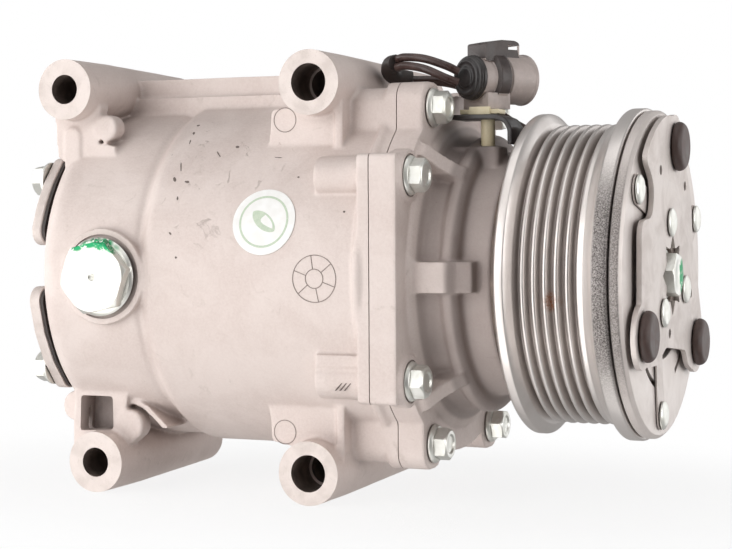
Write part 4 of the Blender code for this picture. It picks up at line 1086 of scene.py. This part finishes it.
def pulley():
    """Rotor with rounded V grooves, rolled rear flange and a plain front rim."""
    outline = [(3.0, 27.3), (3.0, 31.2), (32.3, 31.2), (32.3, 43.9), (0.0, 43.9), (0.0, 51.7), (0.7, 52.4),
               (3.2, 52.4), (4.3, 50.6), (5.1, 49.2)]
    for k in range(GROOVES):
        valley = FIRST_VALLEY_X + GROOVE_PITCH * k
        if k:
            outline += [(valley - 1.55, CREST_R), (valley - 1.15, CREST_R - 0.3)]
        outline += [(valley - 0.25, VALLEY_R), (valley + 0.25, VALLEY_R), (valley + 1.15, CREST_R - 0.3),
                    (valley + 1.55, CREST_R)]
    outline += [(27.0, CREST_R), (29.2, 50.4), (30.6, 52.2), (30.9, 53.1), (31.4, FRONT_FLANGE_R),
                (35.1, FRONT_FLANGE_R), (ROTOR_FACE_X, 52.8), (ROTOR_FACE_X, 33.0), (34.6, 33.0), (34.6, 25.5),
                (25.5, 25.5), (25.5, 27.3)]
    rotor = lathe(rounded(outline, 0.3, 2), 180)
    slots = []
    for start in (10.0, 130.0, 250.0):
        arc = [(31.0, 37.6), (31.0, 39.6), (38.0, 39.6), (38.0, 37.6)]
        slots.append(lathe(arc, 32, sweep=(start, start + 98.0)))
    finish(cut(rotor, *slots), "pulley_rotor" + FINE, "pulley", "pulley", ["pulley_rotor"], 40.0)


def leaf_spring(number):
    """A thin strap from an inner rivet on the hub out to an outer rivet on the armature."""
    y0, z0 = polar(INNER_RIVET_RING_R, INNER_RIVET_ANGLE + 120.0 * number)
    y1, z1 = polar(OUTER_RIVET_RING_R, OUTER_RIVET_ANGLE + 120.0 * number)
    start, end = Vector((y0, z0)), Vector((y1, z1))
    length = (end - start).length
    along = (end - start).normalized()
    across = Vector((-along.y, along.x))
    width, thickness = 4.7, 0.5
    stations = [(-width * math.cos(a), width * math.sin(a)) for a in (0.02, 0.3, 0.6, 0.9, 1.25, math.pi / 2)]
    for k in range(1, 20):
        waist = 1.0 - 0.16 * math.sin(math.pi * k / 20)
        stations.append((length * k / 20, width * waist))
    stations += [(length + width * math.cos(a), width * math.sin(a)) for a in (math.pi / 2, 1.25, 0.9, 0.6, 0.3, 0.02)]
    points, faces = [], []
    for reach, half in stations:
        blend = min(1.0, max(0.0, (reach / length - 0.22) / 0.56))
        blend = blend * blend * (3.0 - 2.0 * blend)
        x = 40.7 + (40.3 - 40.7) * blend
        for side in (-1.0, 1.0):
            spot = start + along * reach + across * (half * side)
            points += [(x, spot.x, spot.y), (x + thickness, spot.x, spot.y)]
    for k in range(len(stations) - 1):
        a, b = 4 * k, 4 * k + 4
        faces += [(a, a + 2, b + 2, b), (a + 1, b + 1, b + 3, a + 3), (a, b, b + 1, a + 1),
                  (a + 2, a + 3, b + 3, b + 2)]
    last = 4 * (len(stations) - 1)
    faces += [(0, 1, 3, 2), (last, last + 2, last + 3, last + 1)]
    strap = cut(solid(points, faces), rod(y0, z0, RIVET_HOLE_R, 36.0, 46.0), rod(y1, z1, RIVET_HOLE_R, 36.0, 46.0))
    name = f"leaf_spring_{number + 1}"
    finish(strap, name + FINE, "hub", "armature", [name], 25.0)


def rivet(name, y, z, tail_x, tail_r, tail_t, seat_x, head_r, head_t, body):
    """A rivet with a domed, slightly flattened head and a pressed ring round it."""
    outline = [(tail_x, 0), (tail_x, tail_r)]
    if tail_t:
        outline += [(tail_x + tail_t, tail_r), (tail_x + tail_t, 1.9)]
    outline += [(seat_x, 1.9), (seat_x, head_r), (seat_x + head_t * 0.4, head_r), (seat_x + head_t * 0.8, head_r * 0.78),
                (seat_x + head_t, head_r * 0.55), (seat_x + head_t, 0)]
    piece = moved(lathe(rounded(outline, 0.35), 48), 0.0, y, z)
    finish(piece, name + FINE, "zinc", body, [name], 40.0)


def hub_plate():
    """The hub's plate: a lobe round each damper, and notches that leave room for the outer rivets."""
    low, high = HUB_PLATE_X
    middle = [(-9.0, -22.6), (-20.0, -27.4), (-33.0, -27.2), (-44.4, -24.6), (-47.2, -20.6), (-46.6, -13.0),
              (-41.4, -9.6), (-40.2, -6.8), (-40.2, 14.6), (-37.6, 17.8), (-29.2, 18.2), (-26.3, 20.2),
              (-25.0, 24.0), (-25.1, 28.4), (-28.2, 31.8), (-32.4, 34.6), (-33.8, 37.2), (-29.4, 41.2),
              (-24.0, 44.8), (-16.0, 48.4), (-8.0, 50.6), (3.7, 50.9), (14.0, 42.6), (19.4, 34.0),
              (25.6, 26.0), (27.2, 18.0), (28.6, 9.0), (34.0, 1.0), (38.4, -8.0), (43.0, -18.0),
              (40.0, -30.0), (30.0, -33.2), (22.4, -31.0), (18.0, -25.4)]
    plate = prism(rounded(middle, 2.4, 3), low, high)
    for k in range(3):
        y, z = polar(DAMPER_RING_R, DAMPER_ANGLE + 120.0 * k)
        plate = join(plate, rod(y, z, 10.2, low, high, steps=72))
    return plate


def hub():
    """Clutch hub: plate with rivet and damper holes, small round holes, a star opening and its boss."""
    low, high = HUB_PLATE_X
    plate = cut(hub_plate(), rod(0, 0, 9.0, 30.0, 50.0, steps=64))
    star = [polar(9.0 if k % 2 else 13.2, 22.5 * k) for k in range(16)]
    cuts = [prism(rounded(star, 0.7, 2), low - 1.0, 46.0)]
    for y, z in ((-16.0, 33.2), (17.0, 28.6), (-4.0, -18.6), (26.0, -7.0)):
        cuts.append(rod(y, z, 1.6, 40.0, 46.0, steps=24))
    for k in range(3):
        y, z = polar(DAMPER_RING_R, DAMPER_ANGLE + 120.0 * k)
        cuts.append(rod(y, z, 4.4, 40.0, 46.0))
        y, z = polar(INNER_RIVET_RING_R, INNER_RIVET_ANGLE + 120.0 * k)
        cuts.append(rod(y, z, RIVET_HOLE_R, 40.0, 46.0))
    plate = bevel(cut(plate, *cuts), 0.3, 3)
    finish(plate, "clutch_hub" + FINE, "hub", "shaft", ["clutch_hub"], 28.0)
    boss = lathe(rounded([(28.5, 7.3), (28.5, 12.4), (low - 0.1, 12.4), (low - 0.1, 9.0), (39.1, 9.0), (39.1, 7.3)],
                         0.3), 96)
    # painted shade: the boss seen through the star opening gets the dark bore colour
    finish(boss, "clutch_hub_boss" + FINE, "bore", "shaft")


def clutch():
    """Armature, springs, rivets, hub, dampers, and the centre bolt."""
    low, high = ARMATURE_X
    outline = [(low, 27.0), (low, ARMATURE_R - 0.4), (low + 0.4, ARMATURE_R), (high - 1.3, ARMATURE_R),
               (high, ARMATURE_R - 1.2), (high, 27.0)]
    armature = lathe(rounded(outline, 0.25), 180)
    cuts = []
    for k in range(3):
        start = OUTER_RIVET_ANGLE + 33.0 + 120.0 * k
        arc = [(35.0, 35.0), (35.0, 37.0), (42.0, 37.0), (42.0, 35.0)]
        cuts.append(lathe(arc, 30, sweep=(start, start + 82.0)))
        y, z = polar(OUTER_RIVET_RING_R, OUTER_RIVET_ANGLE + 120.0 * k)
        cuts.append(rod(y, z, RIVET_HOLE_R, 35.0, 42.0))
    finish(cut(armature, *cuts), "armature_plate" + FINE, "armature", "armature",
           ["armature_plate"], 35.0)
    hub()
    for k in range(3):
        leaf_spring(k)
        y, z = polar(OUTER_RIVET_RING_R, OUTER_RIVET_ANGLE + 120.0 * k)
        rivet(f"outer_rivet_{k + 1}", y, z, 36.9, 1.9, 0, 41.1, 4.6, 1.5, "armature")
        y, z = polar(INNER_RIVET_RING_R, INNER_RIVET_ANGLE + 120.0 * k)
        rivet(f"inner_rivet_{k + 1}", y, z, 39.5, 3.6, 0.6, 43.4, 4.6, 1.4, "shaft")
        damper(k)
    centre_bolt()


def damper(number):
    """A rubber damper: a button on the hub's face, moulded through it to a smaller one behind."""
    y, z = polar(DAMPER_RING_R, DAMPER_ANGLE + 120.0 * number)
    cap = [(40.3, 0), (40.3, 6.0), (41.2, 6.0), (41.2, 4.0), (43.4, 4.0), (43.4, 7.9), (45.2, 7.9), (46.6, 6.6), (46.6, 0)]
    stud = moved(lathe(rounded(cap, 1.1, 4), 72), 0.0, y, z)
    name = f"damper_{number + 1}"
    finish(stud, name + FINE, "damper", "shaft", [name], 40.0)


def centre_bolt():
    """Centre bolt, its washer, and a dab of marking paint down one side of the head."""
    stem = lathe([(24.5, 0), (24.5, 3.8), (39.2, 3.8), (39.2, 8.6), (40.2, 8.6), (40.6, 8.2), (40.6, 0)], 64)
    piece = bevel(join(stem, hex_head(0, 0, 40.2, NOSE_X, 7.4, -12.0, worn=0.4)), 0.15)
    finish(piece, "centre_bolt" + FINE, "bolt_zinc", "shaft", ["centre_bolt"], 28.0)


# ---------------------------------------------------------------- connector and leads

def placed(thing):
    """Turn a solid built along X to the connector's own axis and move it there."""
    turn = Matrix.Rotation(math.radians(CONNECTOR_TURN), 4, "Z")
    return transformed(thing, Matrix.Translation(Vector(CONNECTOR_AT)) @ turn)


def connector():
    """Two-pin connector: ringed grommet, round socket, latch block and foot."""
    boot = [(-0.4, 0), (-0.4, 3.2), (0.2, 3.6), (0.2, 4.6), (-0.2, 5.2), (0.2, 6.0), (0.9, 6.2), (1.0, 6.8), (1.7, 7.2),
            (2.0, 6.9), (2.3, 7.2), (3.3, 7.4), (3.7, 7.0), (3.7, 0)]
    finish(placed(lathe(rounded(boot, 0.3), 96)), "connector_grommet" + FINE, "grommet", "root",
           ["connector_grommet"], 50.0)
    shell_ = [(4.0, 0), (4.0, 6.6), (8.2, 6.6), (8.8, 8.6), (13.0, 8.6), (13.4, 7.6), (13.9, 7.6), (14.2, 8.2),
              (23.6, 8.2), (24.2, 8.5), (25.0, 8.5), (25.0, 6.9), (12.0, 6.6), (12.0, 0)]
    body = lathe(rounded(shell_, 0.3), 96)
    blades = [block((11.5, v - 0.9, -2.2), (15.5, v + 0.9, 2.2)) for v in (-2.6, 2.6)]
    foot = block((4.6, -6.2, -10.2), (14.0, 6.2, -5.0))
    latch = prism(rounded([(5.0, 5.4), (19.5, 5.4), (19.5, 11.6), (17.6, 12.4), (11.5, 12.4), (5.0, 11.2)], 0.8),
                  -4.6, 4.6, "Y")
    body = join(body, foot, latch, *blades)
    window = prism([(13.6, -6.0), (17.6, -6.0), (26.6, 6.0), (22.6, 6.0)], 9.4, 10.8, "Z")
    body = cut(body, window, *[block((u, -3.4, 11.4), (u + 0.8, 3.4, 13.0)) for u in (7.0, 8.6, 10.2)])
    body = finish(bevel(placed(body), 0.3), "connector_body" + FINE, "plastic", "root",
                  ["connector_body"], 30.0)
    axis = Vector((math.cos(math.radians(CONNECTOR_TURN)), math.sin(math.radians(CONNECTOR_TURN)), 0.0))

    def dark_shell(x, y, z, normal):
        spot = Vector((x, y, z)) - Vector(CONNECTOR_AT)
        along = spot.dot(axis)
        return along < 13.5 and (spot.z > 6.8 or (along > 8.3 and spot.z > -5.4))

    paint(body, "dark_plastic", dark_shell)


def bracket():
    """Sheet bracket under the connector and the ivory clip that pins it to the head's lug."""
    strip = [(-24.5, 50.2), (-24.5, 51.8), (-9.0, 51.8), (-5.6, 50.4), (-3.6, 47.4), (-3.6, 42.0), (-5.2, 42.0),
             (-5.2, 46.8), (-6.6, 49.2), (-9.4, 50.2)]
    sheet = prism(rounded(strip, 0.9, 4), -22.0, -9.0, "Y")
    sheet = bevel(cut(sheet, rod(*CLIP_AT, 2.7, 45.0, 55.0, "Z")), 0.3)
    finish(sheet, "connector_bracket" + FINE, "bracket", "root", ["connector_bracket"])
    post = lathe([(38.2, 0), (38.2, 1.7), (40.2, 2.3), (52.6, 2.3), (52.6, 0)], 48)
    post = transformed(post, Matrix.Translation(Vector((*CLIP_AT, 0.0))) @ Matrix.Rotation(math.radians(-90.0), 4, "Y"))
    head = block((-22.4, -18.5, 52.1), (-9.2, -11.5, 53.6))
    tab = block((-19.0, -19.4, 50.9), (-12.0, -18.2, 54.4))
    clip_ = bevel(join(post, head, tab), 0.3)
    finish(clip_, "bracket_clip" + FINE, "ivory", "root", ["bracket_clip"])


def smooth_route(route, samples):
    """Points of a smooth curve through the route's own points."""
    spots = [Vector(p) for p in route]
    spots = [2 * spots[0] - spots[1]] + spots + [2 * spots[-1] - spots[-2]]
    line = []
    for k in range(1, len(spots) - 2):
        a, b, c, d = spots[k - 1:k + 3]
        for s in range(samples):
            t = s / samples
            line.append(0.5 * (2 * b + (c - a) * t + (2 * a - 5 * b + 4 * c - d) * t ** 2
                               + (3 * b - a - 3 * c + d) * t ** 3))
    line.append(spots[-2])
    return line


def lead(name, route, radius, look):
    """A flexible lead as a round tube along its route."""
    line = smooth_route(route, 10)
    curve = bpy.data.curves.new(name + FINE, "CURVE")
    curve.dimensions = "3D"
    curve.bevel_depth = radius * MM
    curve.bevel_resolution = 6
    curve.use_fill_caps = True
    spline = curve.splines.new("POLY")
    spline.points.add(len(line) - 1)
    for point, spot in zip(spline.points, line):
        point.co = (*at(*spot), 1.0)
    thing = bpy.data.objects.new(name + FINE, curve)
    bpy.context.scene.collection.objects.link(thing)
    finish(thing, name + FINE, look, "root", [name])


def leads():
    """Two wires from the grommet, the sleeve that turns them back, and the lead down to the coil."""
    lead("lead_wire_upper", UPPER_WIRE, 1.35, "wire")
    lead("lead_wire_lower", LOWER_WIRE, 1.35, "wire")
    lead("lead_sleeve", SLEEVE, 3.0, "rubber")
    lead("coil_lead", COIL_LEAD, 1.6, "wire")


def coil():
    """Field coil behind the pulley."""
    outline = [(-4.1, 20.5), (-4.1, 42.6), (-1.4, 42.6), (-1.4, 42.9), (29.5, 42.9), (29.5, 32.1), (-1.4, 32.1),
               (-1.4, 20.5)]
    finish(lathe(rounded(outline, 0.4), 120), "field_coil" + FINE, "coil", "root", ["field_coil"])


def inner_parts():
    """Materials of the pieces that stay as the solids are."""
    looks = {"machined_alloy": "scroll", "bearing_steel": "steel", "satin_steel": "steel", "black_rubber": "rubber"}
    slots = {part["node"]: part["material_slot"] for part in frame["record"]["subparts"]}
    for node in ("housing_oring", "fixed_scroll", "orbiting_scroll", "anti_rotation_plate", "discharge_reed",
                 "reed_stop", "crankshaft", "drive_bush", "counterweight", "front_bearing", "shaft_seal",
                 "bearing_snap_ring", "main_bearing_inner_race", "main_bearing_outer_race", "main_bearing_cage",
                 "pulley_bearing_inner_race", "pulley_bearing_outer_race", "pulley_bearing_cage"):
        thing = frame["nodes"][node]
        for material_slot in thing.material_slots:
            material_slot.material = LOOKS[looks[slots[node]]]


# ---------------------------------------------------------------- studio

def area_light(name, azimuth, elevation, distance, power, size, colour, only_shine=False):
    """A soft square lamp aimed at the machine; azimuth 0 is the -Y side, 90 the clutch's."""
    a, e = math.radians(azimuth), math.radians(elevation)
    away = Vector((math.sin(a) * math.cos(e), -math.cos(a) * math.cos(e), math.sin(e)))
    lamp = bpy.data.lights.new(name, "AREA")
    lamp.energy = power
    lamp.size = size
    lamp.color = colour
    thing = bpy.data.objects.new(name, lamp)
    thing.location = at(*TARGET) + away * distance
    thing.rotation_euler = away.to_track_quat("Z", "Y").to_euler()
    thing.visible_diffuse = not only_shine
    bpy.context.scene.collection.objects.link(thing)


def sky():
    """A white room that is darker on the side the machine is seen from."""
    world = bpy.data.worlds.new("room")
    bpy.context.scene.world = world
    world.use_nodes = True
    tree = world.node_tree
    direction = tree.nodes.new("ShaderNodeTexCoord").outputs["Generated"]

    def shade(axis, low, high):
        dot = tree.nodes.new("ShaderNodeVectorMath")
        dot.operation = "DOT_PRODUCT"
        dot.inputs[1].default_value = axis
        tree.links.new(direction, dot.inputs[0])
        spread = tree.nodes.new("ShaderNodeMapRange")
        spread.interpolation_type = "SMOOTHSTEP"
        spread.inputs["From Min"].default_value = low
        spread.inputs["From Max"].default_value = high
        tree.links.new(dot.outputs["Value"], spread.inputs["Value"])
        return spread.outputs["Result"]

    front = shade((0.62, -0.78, 0.0), 0.25, 0.8)
    above = shade((0.0, 0.0, 1.0), 0.6, 0.25)
    below = shade((0.0, 0.0, -1.0), 0.6, 0.3)
    product = front
    for factor in (above, below):
        multiply = tree.nodes.new("ShaderNodeMath")
        multiply.operation = "MULTIPLY"
        tree.links.new(product, multiply.inputs[0])
        tree.links.new(factor, multiply.inputs[1])
        product = multiply.outputs[0]
    mix = tree.nodes.new("ShaderNodeMix")
    mix.data_type = "RGBA"
    mix.inputs[6].default_value = (0.98, 0.97, 0.96, 1.0)
    mix.inputs[7].default_value = (0.11, 0.10, 0.095, 1.0)
    tree.links.new(product, mix.inputs[0])
    background = tree.nodes["Background"]
    background.inputs["Strength"].default_value = 0.36
    tree.links.new(mix.outputs[2], background.inputs["Color"])


def studio():
    """Pale floor that fades into a white backdrop, soft lamps and the camera."""
    low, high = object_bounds()
    centre = (low + high) / 2.0
    bpy.ops.mesh.primitive_circle_add(vertices=96, radius=2.4, fill_type="NGON", location=(centre.x, centre.y, low.z))
    floor = bpy.context.object
    floor.name = "floor"
    surface = Paint("floor_white", 0.6, 0.0)
    oval = surface.node("ShaderNodeVectorMath", operation="MULTIPLY")
    surface.link(surface.coordinates, oval.inputs[0])
    oval.inputs[1].default_value = (0.6, 1.0, 1.0)
    spread = surface.node("ShaderNodeVectorMath", operation="LENGTH")
    surface.link(oval.outputs[0], spread.inputs[0])
    fade = surface.ramp(spread.outputs["Value"], 0.05, 0.16, 0.84, 1.0)
    grain = surface.noise(40.0, 4.0)
    surface.done(surface.mix(surface.ramp(grain, 0.3, 0.7), (0.90, 0.895, 0.89), (0.92, 0.915, 0.91)))
    clear = surface.node("ShaderNodeBsdfTransparent")
    blend = surface.node("ShaderNodeMixShader")
    surface.link(fade, blend.inputs[0])
    surface.link(surface.shader.outputs[0], blend.inputs[1])
    surface.link(clear.outputs[0], blend.inputs[2])
    surface.link(blend.outputs[0], surface.tree.nodes["Material Output"].inputs["Surface"])
    floor.data.materials.append(surface.material)
    floor.visible_shadow = False

    bpy.ops.mesh.primitive_uv_sphere_add(segments=48, ring_count=24, radius=6.0, location=centre)
    backdrop = bpy.context.object
    backdrop.name = "backdrop"
    white = bpy.data.materials.new("backdrop_white")
    white.use_nodes = True
    white.node_tree.nodes.clear()
    glow = white.node_tree.nodes.new("ShaderNodeEmission")
    glow.inputs["Color"].default_value = (1.0, 1.0, 1.0, 1.0)
    glow.inputs["Strength"].default_value = 1.0
    output = white.node_tree.nodes.new("ShaderNodeOutputMaterial")
    white.node_tree.links.new(glow.outputs[0], output.inputs["Surface"])
    backdrop.data.materials.append(white)
    for ray in ("diffuse", "glossy", "transmission", "volume_scatter", "shadow"):
        setattr(backdrop, "visible_" + ray, False)

    sky()
    area_light("key", -40.0, 8.0, 0.9, 6.5, 1.1, (1.0, 0.99, 0.98))
    area_light("front", -5.0, 14.0, 0.9, 1.4, 0.6, (1.0, 1.0, 1.0))
    area_light("left", -95.0, 5.0, 0.85, 3.0, 0.7, (1.0, 1.0, 1.0))
    area_light("side", 140.0, 6.0, 0.8, 1.6, 0.7, (1.0, 1.0, 1.0))
    area_light("clutch_side", 84.0, 8.0, 0.85, 3.2, 0.6, (1.0, 0.99, 0.98))
    area_light("under", -20.0, -38.0, 0.85, 2.9, 0.8, (1.0, 0.98, 0.96))
    area_light("shine_above", 10.0, 72.0, 0.9, 3.0, 1.0, (1.0, 0.99, 0.98), True)
    area_light("shine_below", 10.0, -72.0, 0.9, 2.4, 1.0, (1.0, 0.99, 0.98), True)
    bpy.context.scene.view_settings.view_transform = "Standard"

    azimuth, elevation = math.radians(AZIMUTH), math.radians(ELEVATION)
    away = Vector((math.sin(azimuth) * math.cos(elevation), -math.cos(azimuth) * math.cos(elevation),
                   math.sin(elevation)))
    camera = bpy.data.objects.new("camera", bpy.data.cameras.new("camera"))
    camera.data.lens = LENS
    camera.data.sensor_width = 36.0
    camera.data.clip_start = 0.01
    camera.location = at(*TARGET) + away * DISTANCE * MM
    camera.rotation_mode = "QUATERNION"
    camera.rotation_quaternion = away.to_track_quat("Z", "Y") @ Quaternion((0, 0, 1), math.radians(ROLL))
    bpy.context.scene.collection.objects.link(camera)
    bpy.context.scene.camera = camera


studio()
rear_housing()
surface_marks()
casting_marks()
front_housing()
fasteners()
port_covers()
pulley()
clutch()
coil()
connector()
bracket()
leads()
inner_parts()
